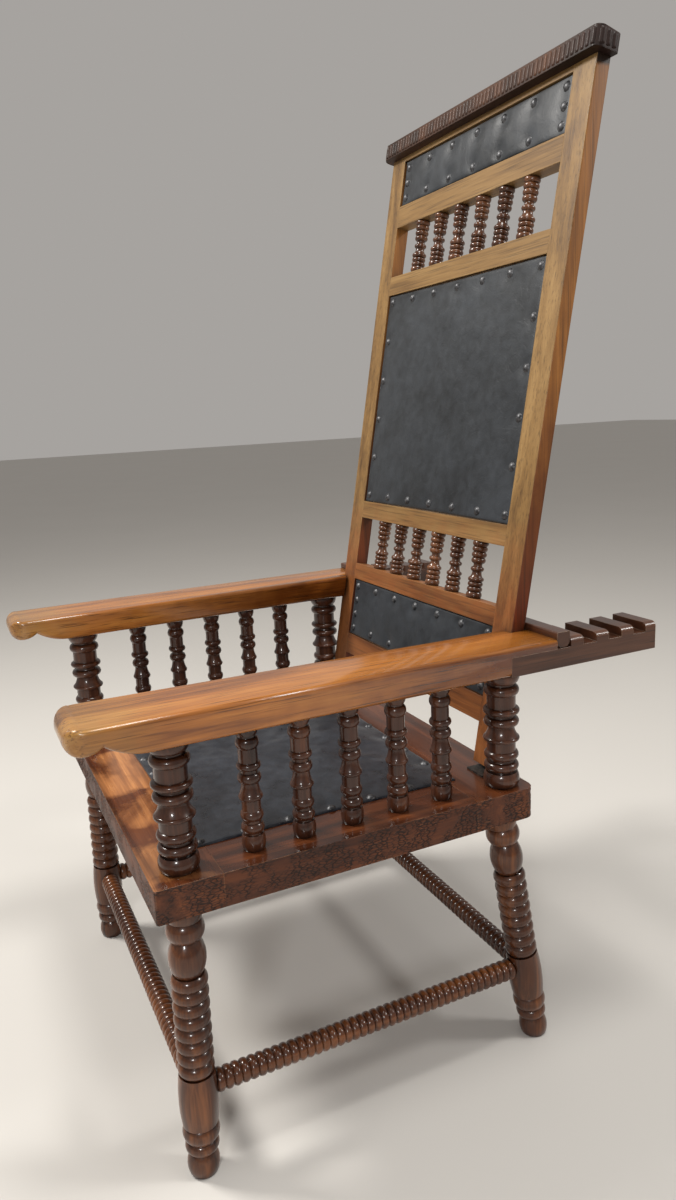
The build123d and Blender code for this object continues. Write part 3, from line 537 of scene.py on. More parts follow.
ARM_WOOD = WoodFinish(
    "glossy_arm_wood", deep=(0.13, 0.034, 0.005), body=(0.36, 0.122, 0.018),
    pale=(0.50, 0.20, 0.036), worn_edge_and_highlight=(0.60, 0.32, 0.12), edge_wear_and_highlight=0.5, grime_and_shade=0.35, roughness=0.24,
    coat=0.5, edge=2.0 * MM, pores=0.7,
    # The sides darken towards the rear; the wood turns paler and less orange towards the nose.
    tone_ramps=(ToneRamp(1, -0.20, 0.16, (0.34, 0.22, 0.18), 0),
            ToneRamp(1, -0.26, -0.35, (0.84, 1.08, 1.45))))
RACK_WOOD = WoodFinish(
    "dark_rack_wood", deep=(0.022, 0.007, 0.003), body=(0.054, 0.017, 0.007),
    pale=(0.10, 0.037, 0.016), worn_edge_and_highlight=(0.32, 0.20, 0.12), edge_wear_and_highlight=0.9, grime_and_shade=0.6, roughness=0.34,
    coat=0.3, pores=0.5)
BACK_WOOD = WoodFinish(
    "worn_back_wood", deep=(0.085, 0.040, 0.012), body=(0.215, 0.118, 0.036),
    pale=(0.31, 0.185, 0.066), worn_edge_and_highlight=(0.42, 0.27, 0.12), edge_wear_and_highlight=0.45, grime_and_shade=0.85, roughness=0.5,
    coat=0.06, pores=0.45, shine=0.35, grime_and_shade_reach=22 * MM,
    # The wood darkens and reddens towards the bottom, its side faces turn more orange throughout
    # and darker towards the bottom, and the stiles' tops turn black.
    tone_ramps=(ToneRamp(2, 0.72, 0.58, (0.95, 0.56, 0.42)),
            ToneRamp(2, 2.0, 1.9, (1.15, 0.80, 0.42), 0),
            ToneRamp(2, 1.0, 0.72, (0.5, 0.36, 0.36), 0),
            ToneRamp(2, 1.243, 1.247, (0.05, 0.045, 0.07), 0)))
SEAT_WOOD = WoodFinish(
    "dark_seat_wood", deep=(0.030, 0.008, 0.003), body=(0.082, 0.022, 0.007),
    pale=(0.16, 0.048, 0.015), worn_edge_and_highlight=(0.40, 0.19, 0.09), edge_wear_and_highlight=0.65, grime_and_shade=0.6, roughness=0.27,
    coat=0.4, shine=0.35, cracked=True,
    tone_ramps=(ToneRamp(1, -0.228, -0.24, (3.6, 5.2, 5.6), 2, True),))
TURNED_WOOD = WoodFinish(
    "dark_turned_wood", deep=(0.016, 0.005, 0.003), body=(0.052, 0.017, 0.008),
    pale=(0.12, 0.041, 0.017), worn_edge_and_highlight=(0.2, 0.085, 0.045), edge_wear_and_highlight=0.0, grime_and_shade=1.0, roughness=0.3,
    coat=0.5, edge=0.5 * MM, coat_roughness=0.07, shine=0.25)
LEG_WOOD = replace(
    TURNED_WOOD, name="red_leg_wood", deep=(0.020, 0.006, 0.003), body=(0.070, 0.021, 0.007),
    pale=(0.20, 0.066, 0.018), coat_roughness=0.08)
BACK_TURNED_WOOD = WoodFinish(
    "brown_turned_wood", deep=(0.026, 0.009, 0.004), body=(0.075, 0.026, 0.010),
    pale=(0.17, 0.066, 0.026), worn_edge_and_highlight=(0.26, 0.12, 0.06), edge_wear_and_highlight=0.0, grime_and_shade=0.9, roughness=0.3,
    coat=0.35, edge=0.5 * MM, coat_roughness=0.09, shine=0.3)
# Painted shade: the crest darkens towards its +X end.
CREST_WOOD = WoodFinish(
    "stained_crest_wood", deep=(0.014, 0.006, 0.003), body=(0.050, 0.021, 0.011),
    pale=(0.10, 0.041, 0.019), worn_edge_and_highlight=(0.16, 0.075, 0.038), edge_wear_and_highlight=0.2, grime_and_shade=0.95, roughness=0.55,
    coat=0.04, shine=0.22, tone_ramps=(ToneRamp(0, 0.15, 0.25, (0.3, 0.22, 0.22)),))
BOARD_WOOD = WoodFinish(
    "bare_board", deep=(0.10, 0.06, 0.035), body=(0.2, 0.13, 0.08), pale=(0.27, 0.18, 0.11),
    worn_edge_and_highlight=(0.3, 0.2, 0.13), edge_wear_and_highlight=0.1, grime_and_shade=0.3, roughness=0.6, coat=0.0)
BLACK_LEATHER = LeatherFinish(
    "black_leather", dark=(0.006, 0.008, 0.0105), light=(0.022, 0.027, 0.034), roughness=0.47)
SEAT_BLACK_LEATHER = LeatherFinish(
    "seat_leather_with_wear_and_painted_sheen", dark=(0.007, 0.008, 0.011), light=(0.029, 0.034, 0.044), roughness=0.31)
NAIL_METAL = MetalFinish(
    "dark_nail", dark=(0.035, 0.036, 0.040), bright=(0.12, 0.12, 0.125), roughness=0.42, metal=0.6)
HINGE_METAL = MetalFinish(
    "dark_hinge_iron", dark=(0.03, 0.028, 0.026), bright=(0.10, 0.09, 0.08), roughness=0.5,
    metal=0.7)


class Stock:
    """Keeps one material for each finish and grain, so that pieces share them."""

    def __init__(self) -> None:
        """Starts empty."""
        self._made: dict[tuple[str, str], bpy.types.Material] = {}

    def of(self, finish: Finish, grain: Grain = Grain.NONE) -> bpy.types.Material:
        """Returns the material of a finish with a grain, made once."""
        key = (finish.name, grain.name)
        if key not in self._made:
            self._made[key] = finish.make(grain)
        return self._made[key]


class Recipe(Board):
    """A geometry node tree with named inputs, which ends in plain, dressed mesh."""

    def __init__(self, name: str, sizes: dict[str, tuple[str, Any]]) -> None:
        """Starts a tree.

        Args:
            name: the tree's name.
            sizes: for each named input its socket type and its value.
        """
        super().__init__(bpy.data.node_groups.new(name, "GeometryNodeTree"))
        face = self.tree.interface
        self.values = {label: value for label, (_, value) in sizes.items()}
        face.new_socket("Geometry", in_out="INPUT", socket_type="NodeSocketGeometry")
        for label, (kind, _) in sizes.items():
            face.new_socket(label, in_out="INPUT", socket_type=kind)
        face.new_socket("Geometry", in_out="OUTPUT", socket_type="NodeSocketGeometry")
        self.door = self.tree.nodes.new("NodeGroupInput")

    def size(self, label: str) -> Wire:
        """Gives a named input as a wire."""
        return Wire(self, self.door.outputs[label])

    def vector(self, x: Any = 0.0, y: Any = 0.0, z: Any = 0.0) -> Wire:
        """Joins three numbers into a vector."""
        return self.node("ShaderNodeCombineXYZ", None, {0: x, 1: y, 2: z})

    def serve(self, geometry: Wire, material: bpy.types.Material) -> None:
        """Ends the tree: instances become mesh, and the mesh gets its material."""
        real = self.node("GeometryNodeRealizeInstances", None, {0: geometry})
        dressed = self.node("GeometryNodeSetMaterial", None,
                            {"Geometry": real, "Material": material})
        self.feed(self.tree.nodes.new("NodeGroupOutput").inputs[0], dressed)

    def bake(self, name: str, start: bpy.types.Mesh | None = None) -> bpy.types.Mesh:
        """Runs the tree and returns its result as a plain mesh.

        Args:
            name: the name of the new mesh.
            start: the mesh that the tree works on, or None for an empty one.

        Returns:
            The mesh, with nothing live on it.
        """
        carrier = bpy.data.objects.new(name, start or bpy.data.meshes.new(name))
        bpy.context.scene.collection.objects.link(carrier)
        modifier = carrier.modifiers.new(name, "NODES")
        modifier.node_group = self.tree
        for item in self.tree.interface.items_tree:
            if item.in_out == "INPUT" and item.name in self.values:
                modifier[item.identifier] = self.values[item.name]
        bpy.context.view_layer.update()
        graph = bpy.context.evaluated_depsgraph_get()
        mesh = bpy.data.meshes.new_from_object(carrier.evaluated_get(graph), depsgraph=graph)
        bpy.data.objects.remove(carrier)
        mesh.name = name
        return mesh


def show(name: str, mesh: bpy.types.Mesh) -> bpy.types.Object:
    """Puts a mesh in the scene as an object at the origin."""
    piece = bpy.data.objects.new(name, mesh)
    bpy.context.scene.collection.objects.link(piece)
    return piece


def edit(mesh: bpy.types.Mesh, change: Callable[[bmesh.types.BMesh], None] | None = None) -> None:
    """Changes a mesh by a function, if there is one, and turns its faces outwards."""
    work = bmesh.new()
    work.from_mesh(mesh)
    if change:
        change(work)
    bmesh.ops.recalc_face_normals(work, faces=work.faces)
    work.to_mesh(mesh)
    work.free()


def smooth_by_angle(mesh: bpy.types.Mesh, angle: float) -> None:
    """Shades a mesh smooth, but keeps edges sharp where faces meet at more than an angle."""
    mesh.shade_smooth()
    mesh.set_sharp_from_angle(angle=angle)


def soft_shading_group(angle: float) -> bpy.types.NodeTree:
    """Builds the tree that joins loose triangles and shades them smooth up to an angle."""
    recipe = Recipe("soft_shading", {})
    joined = recipe.node("GeometryNodeMergeByDistance", None,
                         {"Geometry": Wire(recipe, recipe.door.outputs[0]), "Distance": WELD})
    smooth = recipe.node("GeometryNodeSetShadeSmooth", {"domain": "FACE"}, {"Geometry": joined})
    turn = recipe.node("GeometryNodeInputMeshEdgeAngle")
    feeds = {"Geometry": smooth, "Selection": turn > angle, "Shade Smooth": False}
    crisp = recipe.node("GeometryNodeSetShadeSmooth", {"domain": "EDGE"}, feeds)
    recipe.feed(recipe.tree.nodes.new("NodeGroupOutput").inputs[0], crisp)
    return recipe.tree


@dataclass
class Workshop:
    """What every sub-assembly shares: the frame, the stock of materials and the shading tree."""

    frame: dict
    stock: Stock
    shading: bpy.types.NodeTree

    def dress(self, name: str, finish: Finish, grain: Grain = Grain.NONE) -> None:
        """Gives a CAD node its finish and smooth shading, its own mesh unchanged."""
        node = self.frame["nodes"][name]
        node.data.materials.clear()
        node.data.materials.append(self.stock.of(finish, grain))
        node.modifiers.new("soft shading", "NODES").node_group = self.shading
        LOG.info("dressed %s", name)

    def add(self, piece: bpy.types.Object, body: str, slot: str, *nodes: str) -> None:
        """Makes a new piece ride on a body, and hides the nodes that it stands for."""
        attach(piece, body)
        if nodes:
            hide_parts(*nodes)
        LOG.info("made %s with %d faces", piece.name, len(piece.data.polygons))


@dataclass
class Undercarriage:
    """The four turned legs and the box of ringed stretchers."""

    shop: Workshop

    def build(self) -> None:
        """Dresses the legs and stretchers."""
        for side in SIDES:
            self.shop.dress(f"{side}_stretcher", LEG_WOOD, Grain.DEEP)
            for end in ENDS:
                self.shop.dress(f"{end}_{side}_leg", LEG_WOOD, Grain.UP)
        for end in ENDS:
            self.shop.dress(f"{end}_stretcher", LEG_WOOD, Grain.ACROSS)


@dataclass
class SeatFrame:
    """The four rails with cracked varnish outside, and what lies inside them."""

    shop: Workshop
    cell: float = 1.7 * MM
    relief: float = 1.0 * MM
    rear_corner: float = 14.0 * MM
    front_corner: float = 3.0 * MM
    # How squarely a face has to look outwards to be cracked, as a cosine or its square.
    squareness: float = 0.9
    crease: float = radians(38)

    def _tree(self, name: str, size: Vector, middle: Vector, outward: Triple,
              material: bpy.types.Material) -> Recipe:
        """Builds the tree of one rail: a fine box whose outer faces are broken by short cracks.

        Args:
            name: the tree's name.
            size: the rail's length on each axis.
            middle: the rail's middle, so that the cracks follow the shader's.
            outward: the way that its cracked face looks.
            material: what the mesh gets.

        Returns:
            The finished tree.
        """
        cells = [max(2, round(length / self.cell)) + 1 for length in size]
        recipe = Recipe(name, {
            "Size": (VECTOR, tuple(size)), "Outward": (VECTOR, outward),
            "Middle": (VECTOR, tuple(middle)), "Relief": (NUMBER, self.relief)})
        box = recipe.node("GeometryNodeMeshCube", None, {
            "Size": recipe.size("Size"), "Vertices X": cells[0], "Vertices Y": cells[1],
            "Vertices Z": cells[2]})
        place = recipe.node("GeometryNodeInputPosition")
        normal = recipe.node("GeometryNodeInputNormal")
        outer = recipe.reckon("DOT_PRODUCT", normal, recipe.size("Outward"), out="Value")
        side = recipe.part(normal, 0)
        square = (outer > self.squareness) + (side * side > self.squareness)
        facing = square.ramp(0.0, 1.0)
        spot = recipe.reckon("ADD", place, recipe.size("Middle"))
        depth = recipe.crackle(spot) * -1.0 * recipe.size("Relief") * facing
        offset = recipe.node("ShaderNodeVectorMath", {"operation": "SCALE"},
                             {0: normal, "Scale": depth})
        worked = recipe.node("GeometryNodeSetPosition", None, {"Geometry": box, "Offset": offset})
        recipe.serve(worked, material)
        return recipe

    def _rail(self, name: str, outward: Triple, grain: Grain) -> None:
        """Makes one rail in place of its CAD node.

        Args:
            name: the CAD node.
            outward: the way that its cracked face looks.
            grain: the way its fibres run.
        """
        low, high = self._span(name, *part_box(name))
        middle = (low + high) / 2
        wood = self.shop.stock.of(SEAT_WOOD, grain)
        recipe = self._tree(f"tooled_{name}", high - low, middle, outward, wood)
        mesh = recipe.bake(f"tooled_{name}")
        mesh.transform(Matrix.Translation(middle))
        if outward[1]:
            corner = self.rear_corner if outward[1] > 0 else self.front_corner
            narrow_ends(mesh, outward[1], corner)
        smooth_by_angle(mesh, self.crease)
        self.shop.add(show(f"tooled_{name}", mesh), FIXED, "seat_frame_wood", name)

    def _span(self, name: str, low: Vector, high: Vector) -> tuple[Vector, Vector]:
        """Gives a rail's box without the tenons, which lie inside the front and rear rails."""
        if name in ("left_seat_rail", "right_seat_rail"):
            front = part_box("front_seat_rail")[1].y
            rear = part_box("rear_seat_rail")[0].y
            return Vector((low.x, front, low.z)), Vector((high.x, rear, high.z))
        return low, high

    def build(self) -> None:
        """Makes the rails and dresses the board, the blocks and the nails."""
        self._rail("front_seat_rail", (0.0, -1.0, 0.0), Grain.ACROSS)
        self._rail("rear_seat_rail", (0.0, 1.0, 0.0), Grain.ACROSS)
        for side, sign in SIDES.items():
            self._rail(f"{side}_seat_rail", (float(sign), 0.0, 0.0), Grain.DEEP)
        self.shop.dress("seat_board", BOARD_WOOD, Grain.ACROSS)
        self.shop.dress("corner_blocks", BOARD_WOOD, Grain.ACROSS)
        self.shop.dress("seat_nails", NAIL_METAL)


def spread(half: float, count: int) -> list[float]:
    """Gives a number of even places from one side to the other."""
    return [-half + 2 * half * index / (count - 1) for index in range(count)]


def narrow_ends(mesh: bpy.types.Mesh, facing: float, radius: float) -> None:
    """Rounds the two upright corners of one end of a mesh in plan.

    Args:
        mesh: the mesh, changed in place.
        facing: 1 for the end towards +Y, -1 for the end towards -Y.
        radius: the corners' radius.
    """
    xs = [vertex.co.x for vertex in mesh.vertices]
    middle, half = (min(xs) + max(xs)) / 2, (max(xs) - min(xs)) / 2
    tip = max(vertex.co.y * facing for vertex in mesh.vertices)
    for vertex in mesh.vertices:
        depth = tip - vertex.co.y * facing
        if depth < radius:
            width = half - radius + sqrt(max(0.0, radius ** 2 - (radius - depth) ** 2))
            vertex.co.x = middle + (vertex.co.x - middle) * width / half


@dataclass
class Arms:
    """The two arms with their scrolled ends, the racks, and the turned uprights."""

    shop: Workshop
    corner: float = 26.0 * MM
    cuts: int = 14
    crease: float = radians(32)
    spindles: int = 5

    def _arm(self, side: str) -> None:
        """Makes one arm from its CAD node, with its front corners rounded in plan."""
        node = self.shop.frame["nodes"][f"{side}_arm"]
        mesh = node.data.copy()
        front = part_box(f"{side}_arm")[0].y

        def slice_nose(work: bmesh.types.BMesh) -> None:
            """Joins the loose triangles and cuts the nose into narrow slices."""
            bmesh.ops.remove_doubles(work, verts=work.verts, dist=WELD)
            for index in range(1, self.cuts + 1):
                depth = self.corner * (index / self.cuts) ** 2
                everything = [*work.verts, *work.edges, *work.faces]
                bmesh.ops.bisect_plane(work, geom=everything, plane_co=(0, front + depth, 0),
                                       plane_no=(0, 1, 0))

        edit(mesh, slice_nose)
        narrow_ends(mesh, -1.0, self.corner)
        smooth_by_angle(mesh, self.crease)
        mesh.materials.clear()
        mesh.materials.append(self.shop.stock.of(ARM_WOOD, Grain.DEEP))
        self.shop.add(show(f"{side}_arm_wood", mesh), FIXED, "arm_wood", f"{side}_arm")

    def build(self) -> None:
        """Makes the arms and dresses the racks, posts and spindles."""
        for side in SIDES:
            self._arm(side)
            self.shop.dress(f"{side}_rack", RACK_WOOD, Grain.DEEP)
            for end in ENDS:
                self.shop.dress(f"{end}_{side}_post", TURNED_WOOD, Grain.UP)
            for index in range(1, self.spindles + 1):
                self.shop.dress(f"{side}_arm_spindle_{index}", TURNED_WOOD, Grain.UP)


@dataclass
class LeatherPad:
    """A nailed leather panel: crowned, rolled at its edge and puckered at its nails.

    The pull is how far its sides are drawn in between the corners.
    """

    name: str
    half_x: float
    half_y: float
    crown: float
    pull: float
    nails_across: int
    nails_down: int
    seed: float
    nail_inset: float
    ripple: float
    rim: float = 2.6 * MM
    cell: float = 4.0 * MM
    roll: float = 2.4 * MM
    roll_steps: tuple[float, ...] = (0.0, 0.12, 0.3, 0.6, 1.0)
    pucker: float = 0.5 * MM
    pucker_reach: float = 9.0 * MM
    underside: float = 0.1 * MM
    crown_power: float = 0.7
    ripple_power: float = 0.5
    broad_wave: float = 17.0
    fine_wave: float = 60.0
    fine_share: float = 0.4
    crease: float = radians(50)

    def _lines(self, half: float) -> list[float]:
        """Gives the grid lines from one side to the other, close together at the rolled edges."""
        close = [self.roll * share for share in self.roll_steps]
        inner = half - self.roll
        count = max(4, round(2 * inner / self.cell))
        even = spread(inner, count + 1)[1:-1]
        return [-half + step for step in close] + even + [half - step for step in reversed(close)]

    def nail_places(self) -> list[tuple[float, float]]:
        """Gives the place of each nail, as the real nails lie."""
        far_x, far_y = self.half_x - self.nail_inset, self.half_y - self.nail_inset
        across, down = spread(far_x, self.nails_across), spread(far_y, self.nails_down)
        long_rows = [(x, y) for x in across for y in (-far_y, far_y)]
        return long_rows + [(x, y) for y in down[1:-1] for x in (-far_x, far_x)]

    def _wave(self, x: float, y: float, scale: float) -> float:
        """Gives a smooth random wave with a number of features in a metre."""
        return noise.noise(Vector((x * scale, y * scale, self.seed)))

    def _height(self, x: float, y: float, nails: list[tuple[float, float]]) -> float:
        """Gives the height of the leather's face at a place on the panel."""
        share_x, share_y = x / self.half_x, y / self.half_y
        swell = ((1 - share_x ** 2) * (1 - share_y ** 2)) ** self.crown_power
        edge = min(self.half_x - abs(x), self.half_y - abs(y))
        rolled = sqrt(max(0.0, 1 - (1 - min(1.0, edge / self.roll)) ** 2))
        fine = self.fine_share * self._wave(x, y, self.fine_wave)
        wave = self._wave(x, y, self.broad_wave) + fine
        spread = 2 * self.pucker_reach ** 2
        dip = min(1.0, sum(exp(-((x - nx) ** 2 + (y - ny) ** 2) / spread) for nx, ny in nails))
        rise = self.crown * swell + self.ripple * wave * swell ** self.ripple_power
        return self.underside + (self.rim + rise * (1 - dip) - self.pucker * dip) * rolled

    def mesh(self, place: Matrix) -> bpy.types.Mesh:
        """Builds the closed form: a face and an underside on one grid, joined round the rim."""
        across, down = self._lines(self.half_x), self._lines(self.half_y)
        nails = self.nail_places()
        points, faces = [], []
        for level in (1, 0):
            for y in down:
                for x in across:
                    tuck_x = 1 - self.pull / self.half_x * (1 - (y / self.half_y) ** 2)
                    tuck_y = 1 - self.pull / self.half_y * (1 - (x / self.half_x) ** 2)
                    height = self._height(x, y, nails) if level else self.underside / 2
                    points.append(place @ Vector((x * tuck_x, y * tuck_y, height)))
        columns, rows = len(across), len(down)
        base = columns * rows
        for row in range(rows - 1):
            for column in range(columns - 1):
                corner = row * columns + column
                quad = (corner, corner + 1, corner + columns + 1, corner + columns)
                faces.append(quad)
                faces.append(tuple(base + index for index in reversed(quad)))
        rim = [*range(columns)] + [r * columns + columns - 1 for r in range(1, rows)]
        rim += [(rows - 1) * columns + c for c in range(columns - 2, -1, -1)]
        rim += [r * columns for r in range(rows - 2, 0, -1)]
        for here, there in zip(rim, rim[1:] + rim[:1]):
            faces.append((here, base + here, base + there, there))
        mesh = bpy.data.meshes.new(self.name)
        mesh.from_pydata(points, [], faces)
        edit(mesh)
        smooth_by_angle(mesh, self.crease)
        return mesh


@dataclass
class Back:
    """The tall back: stiles, rails, spindles, three leather panels and the reeded crest."""

    shop: Workshop
    lean: float = radians(10.35)
    front_y: float = 459.4 * MM
    middle_y: float = 302.915 * MM
    seat_top: float = 385.0 * MM
    inner_x: float = 202.5 * MM
    setback: float = 5.0 * MM
    # For each panel the low and the high end of its bay, and how many nails go down its side.
    bays: dict = field(default_factory=lambda: {
        "lumbar": (97.0 * MM, 193.6 * MM, 4),
        "back": (327.5 * MM, 667.0 * MM, 6),
        "head": (808.0 * MM, 878.5 * MM, 3)})
    panel_gap: float = 0.5 * MM
    panel_crown: float = 3.2 * MM
    panel_pull: float = 1.2 * MM
    panel_ripple: float = 0.9 * MM
    panel_nails: int = 7
    seed_step: float = 40.0
    rails: tuple = ("bottom_rail", "lower_spindle_rail", "lower_panel_rail", "upper_panel_rail",
                    "upper_spindle_rail", "top_rail")
    crest_low: float = 886.5 * MM
    crest_height: float = 25.0 * MM
    crest_cove: float = 1.2 * MM
    crest_fall: float = 4.0 * MM
    crest_half: float = 255.0 * MM
    crest_front: float = 12.5 * MM
    crest_rear: float = 22.5 * MM
    crest_corner: float = 10.0 * MM
    reed_radius: float = 4.4 * MM
    reed_proud: float = 1.6 * MM
    reed_pitch: float = 8.6 * MM
    reed_gap: float = 0.8 * MM
    reed_sides: int = 12
    reed_rings: int = 13
    reed_corner_steps: int = 8
    reed_bluntness: float = 6.0
    reed_crease: float = radians(60)
    # The reeds stop this far from the crest's rear face.
    bare_rear: float = 7 * MM
    nail_inset: float = 11.5 * MM

    def place(self) -> Matrix:
        """Gives the back's own frame: across, through and up along its slope."""
        origin = Matrix.Translation((0, self.front_y - self.middle_y, self.seat_top))
        return origin @ Matrix.Rotation(-self.lean, 4, "X")

    def _panel(self, name: str, low: float, high: float, down: int) -> None:
        """Makes the leather of one panel.

        Args:
            name: which of the bays it closes.
            low: the low end of the bay, up the back's slope.
            high: the high end of the bay.
            down: how many nails go down its side.
        """
        pad = LeatherPad(
            f"{name}_leather_panel", self.inner_x - self.panel_gap,
            (high - low) / 2 - self.panel_gap, self.panel_crown, self.panel_pull,
            self.panel_nails, down, seed=low * self.seed_step, nail_inset=self.nail_inset,
            ripple=self.panel_ripple)
        face = Matrix(((1, 0, 0, 0), (0, 0, -1, self.setback),
                       (0, 1, 0, (low + high) / 2), (0, 0, 0, 1)))
        piece = show(pad.name, pad.mesh(self.place() @ face))
        piece.data.materials.append(self.shop.stock.of(BLACK_LEATHER))
        self.shop.add(piece, SWINGING, "leather", f"{name}_leather")

    def _reeds(self) -> None:
        """Makes the row of upright reeds along the crest's front and round its ends."""
        depth = self.crest_front + self.crest_rear
        inset = self.reed_radius - self.reed_proud
        height = self.crest_height - self.crest_cove - 2 * self.reed_gap
        recipe = Recipe("crest_reeds", {
            "Width": (NUMBER, 2 * (self.crest_half - inset)),
            "Depth": (NUMBER, depth - 2 * inset),
            "Corner": (NUMBER, self.crest_corner - inset),
            "Reed Radius": (NUMBER, self.reed_radius),
            "Reed Height": (NUMBER, height),
            "Pitch": (NUMBER, self.reed_pitch)})
        border = recipe.node("GeometryNodeCurvePrimitiveQuadrilateral", {"mode": "RECTANGLE"},
                             {"Width": recipe.size("Width"), "Height": recipe.size("Depth")})
        rounded = recipe.node("GeometryNodeFilletCurve", {"mode": "POLY"},
                              {"Curve": border, "Radius": recipe.size("Corner"),
                               "Count": self.reed_corner_steps})
        points = recipe.node("GeometryNodeCurveToPoints", {"mode": "LENGTH"},
                             {"Curve": rounded, "Length": recipe.size("Pitch")})
        spine = recipe.node("GeometryNodeCurvePrimitiveLine", {"mode": "POINTS"},
                            {"Start": (0, 0, 0),
                             "End": recipe.vector(z=recipe.size("Reed Height"))})
        spine = recipe.node("GeometryNodeResampleCurve", None,
                            {"Curve": spine, "Count": self.reed_rings})
        along = recipe.node("GeometryNodeSplineParameter", out="Factor")
        # From -1 at a reed's foot to 1 at its top, so that both ends close in a round.
        from_middle = (along - 0.5) * 2.0
        taper = (1.0 - (from_middle * from_middle) ** self.reed_bluntness) ** 0.5
        ring = recipe.node("GeometryNodeCurvePrimitiveCircle", {"mode": "RADIUS"},
                           {"Resolution": self.reed_sides, "Radius": recipe.size("Reed Radius")})
        reed = recipe.node("GeometryNodeCurveToMesh", None, {"Curve": spine, "Profile Curve": ring,
                                                             "Scale": taper, "Fill Caps": True})
        spot = recipe.node("GeometryNodeInputPosition")
        depthwise = recipe.part(spot, 1)
        forward = 1.0 - (depthwise > (depth / 2 - self.bare_rear))
        # The crest falls towards its rear, and the reeds grow shorter with it.
        lower = 1.0 - (depthwise + depth / 2) * (self.crest_fall / (depth * height))
        row = recipe.node("GeometryNodeInstanceOnPoints", None,
                          {"Points": points, "Selection": forward, "Instance": reed,
                           "Scale": recipe.vector(1.0, 1.0, lower)})
        recipe.serve(row, self.shop.stock.of(CREST_WOOD, Grain.UP))
        mesh = recipe.bake("crest_reeds")
        foot = self.crest_low + self.crest_cove + self.reed_gap
        lift = Matrix.Translation((0, depth / 2 - self.crest_front, foot))
        mesh.transform(self.place() @ lift)
        smooth_by_angle(mesh, self.reed_crease)
        self.shop.add(show("crest_reeds", mesh), SWINGING, "crest_wood")

    def build(self) -> None:
        """Makes the panels and the reeds and dresses the rest."""
        for side in SIDES:
            self.shop.dress(f"{side}_stile", BACK_WOOD, Grain.UP)
        for name in self.rails:
            self.shop.dress(name, BACK_WOOD, Grain.ACROSS)
        for name in ("lower_back_spindles", "upper_back_spindles"):
            self.shop.dress(name, BACK_TURNED_WOOD, Grain.UP)
        self.shop.dress("crest_rail", CREST_WOOD, Grain.ACROSS)
        self.shop.dress("panel_boards", BOARD_WOOD, Grain.UP)
        self.shop.dress("panel_nails", NAIL_METAL)
        for name, (low, high, down) in self.bays.items():
            self._panel(name, low, high, down)
        self._reeds()


@dataclass
class SeatLeather:
    """The leather of the seat, nailed to the rails round the opening."""

    shop: Workshop
    lap: float = 12.0 * MM
    crown: float = 7.4 * MM
    pull: float = 2.5 * MM
    ripple: float = 2.4 * MM
    nails_across: int = 9
    nails_down: int = 7
    nail_inset: float = 8.5 * MM
    seed: float = 3.0

    def build(self) -> None:
        """Makes the seat's leather over the opening of the frame."""
        left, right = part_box("left_seat_rail")[0].x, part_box("right_seat_rail")[1].x
        front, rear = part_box("front_seat_rail")[1].y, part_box("rear_seat_rail")[0].y
        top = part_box("front_seat_rail")[1].z
        pad = LeatherPad(
            "seat_leather_cover", (left - right) / 2 + self.lap, (rear - front) / 2 + self.lap,
            self.crown, self.pull, self.nails_across, self.nails_down, seed=self.seed,
            nail_inset=self.nail_inset, ripple=self.ripple)
        place = Matrix.Translation(((left + right) / 2, (front + rear) / 2, top))
        piece = show(pad.name, pad.mesh(place))
        piece.data.materials.append(self.shop.stock.of(SEAT_BLACK_LEATHER))
        self.shop.add(piece, FIXED, "leather", "seat_leather")


@dataclass
class Ironwork:
    """The hinges under the back with their pins and screws, and the loose crossbar."""

    shop: Workshop

    def build(self) -> None:
        """Dresses the hinges, the screws and the bar."""
        for side in SIDES:
            for part in ("hinge_rail_leaf", "hinge_stile_leaf", "hinge_pin"):
                self.shop.dress(f"{side}_{part}", HINGE_METAL)
        for name in ("rail_hinge_screws", "stile_hinge_screws"):
            self.shop.dress(name, HINGE_METAL)
        self.shop.dress("crossbar", RACK_WOOD, Grain.ACROSS)


@dataclass(frozen=True)
class Lamp:
    """A soft square lamp that looks at a point."""

    name: str
    place: Triple
    aim: Triple
    size: float
    power: float
    colour: Colour = (1.0, 1.0, 1.0)

    def hang(self) -> None:
        """Puts the lamp in the scene."""
        data = bpy.data.lights.new(self.name, "AREA")
        data.size, data.energy, data.color = self.size, self.power, self.colour
        lamp = bpy.data.objects.new(self.name, data)
        lamp.location = self.place
        look = Vector(self.aim) - Vector(self.place)
        lamp.rotation_euler = look.to_track_quat("-Z", "Y").to_euler()
        bpy.context.scene.collection.objects.link(lamp)


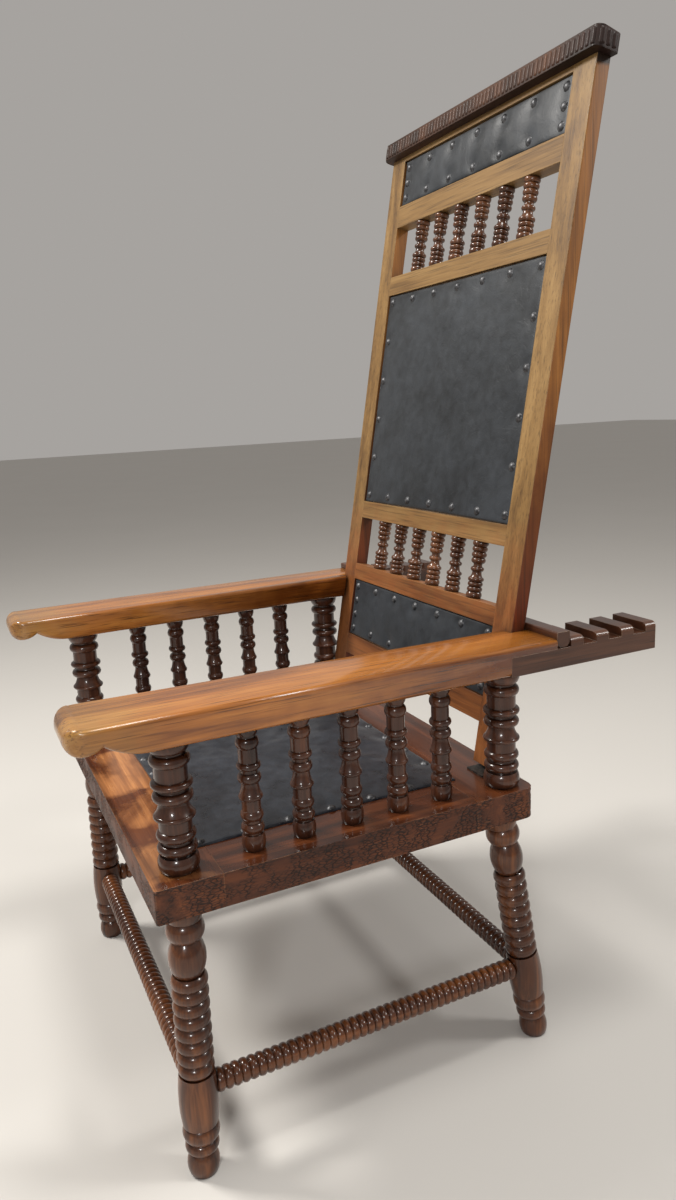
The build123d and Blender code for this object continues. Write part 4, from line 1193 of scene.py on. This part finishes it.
@dataclass
class Studio:
    """The floor, the light round it and the camera where the photograph was taken."""

    eye: Triple = (1.1165, -0.4603, 0.8686)
    right: Triple = (0.4327, 0.9004, -0.0454)
    up: Triple = (-0.1788, 0.1351, 0.9746)
    back: Triple = (0.8836, -0.4136, 0.2195)
    lens: float = 25.92
    sensor: float = 36.0
    floor_size: float = 40.0
    floor_tone: Colour = (0.56, 0.54, 0.51)
    floor_contrast: float = 1.05
    floor_roughness: float = 0.75
    floor_mottle: Noise = Noise(1.6, 2.0)
    sky_tone: Colour = (0.618, 0.589, 0.56)
    sky_light: float = 0.62
    lamps: tuple[Lamp, ...] = (
        Lamp("key", (-1.0, -1.5, 2.7), (0.0, 0.0, 0.6), 0.6, 74.0, (1.0, 0.97, 0.92)),
        Lamp("overhead", (0.5, 0.2, 3.0), (0.0, 0.0, 0.6), 0.6, 34.0, (1.0, 0.98, 0.94)),
        Lamp("rear", (1.6, 2.4, 2.4), (0.0, 0.0, 0.7), 0.5, 34.0, (1.0, 0.98, 0.95)),
        Lamp("fill", (2.6, -1.6, 1.6), (0.0, 0.0, 0.6), 0.4, 30.0),
    )

    def camera(self) -> None:
        """Sets the camera up."""
        data = bpy.data.cameras.new("view")
        data.sensor_width, data.lens = self.sensor, self.lens
        camera = bpy.data.objects.new("view", data)
        axes = Matrix((self.right, self.up, self.back)).transposed().to_4x4()
        camera.matrix_world = Matrix.Translation(self.eye) @ axes
        bpy.context.scene.collection.objects.link(camera)
        bpy.context.scene.camera = camera

    def floor(self) -> None:
        """Lays a plain pale floor."""
        bpy.ops.mesh.primitive_plane_add(size=self.floor_size)
        floor = bpy.context.object
        floor.name = "floor"
        board = MaterialBoard("pale_floor")
        mottle = board.cloud(board.place, self.floor_mottle)
        paler = scaled(self.floor_tone, self.floor_contrast)
        board.shade(Base_Color=board.blend(mottle, self.floor_tone, paler),
                    Roughness=self.floor_roughness)
        floor.data.materials.append(board.material)

    def sky(self) -> None:
        """Lights the object evenly from all round."""
        world = bpy.data.worlds.new("soft_room")
        world.use_nodes = True
        shade = world.node_tree.nodes["Background"]
        shade.inputs["Color"].default_value = opaque(self.sky_tone)
        shade.inputs["Strength"].default_value = self.sky_light
        bpy.context.scene.world = world

    def build(self) -> None:
        """Makes the studio."""
        bpy.context.scene.view_settings.view_transform = "Standard"
        self.camera()
        self.floor()
        self.sky()
        for lamp in self.lamps:
            lamp.hang()


def main() -> None:
    """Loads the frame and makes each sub-assembly."""
    logging.basicConfig(level=logging.INFO, format="%(message)s")
    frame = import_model()
    shop = Workshop(frame, Stock(), soft_shading_group(CAD_CREASE))
    Studio().build()
    for assembly in (Undercarriage, SeatFrame, Arms, SeatLeather, Back, Ironwork):
        assembly(shop).build()


if __name__ == "__main__":
    main()
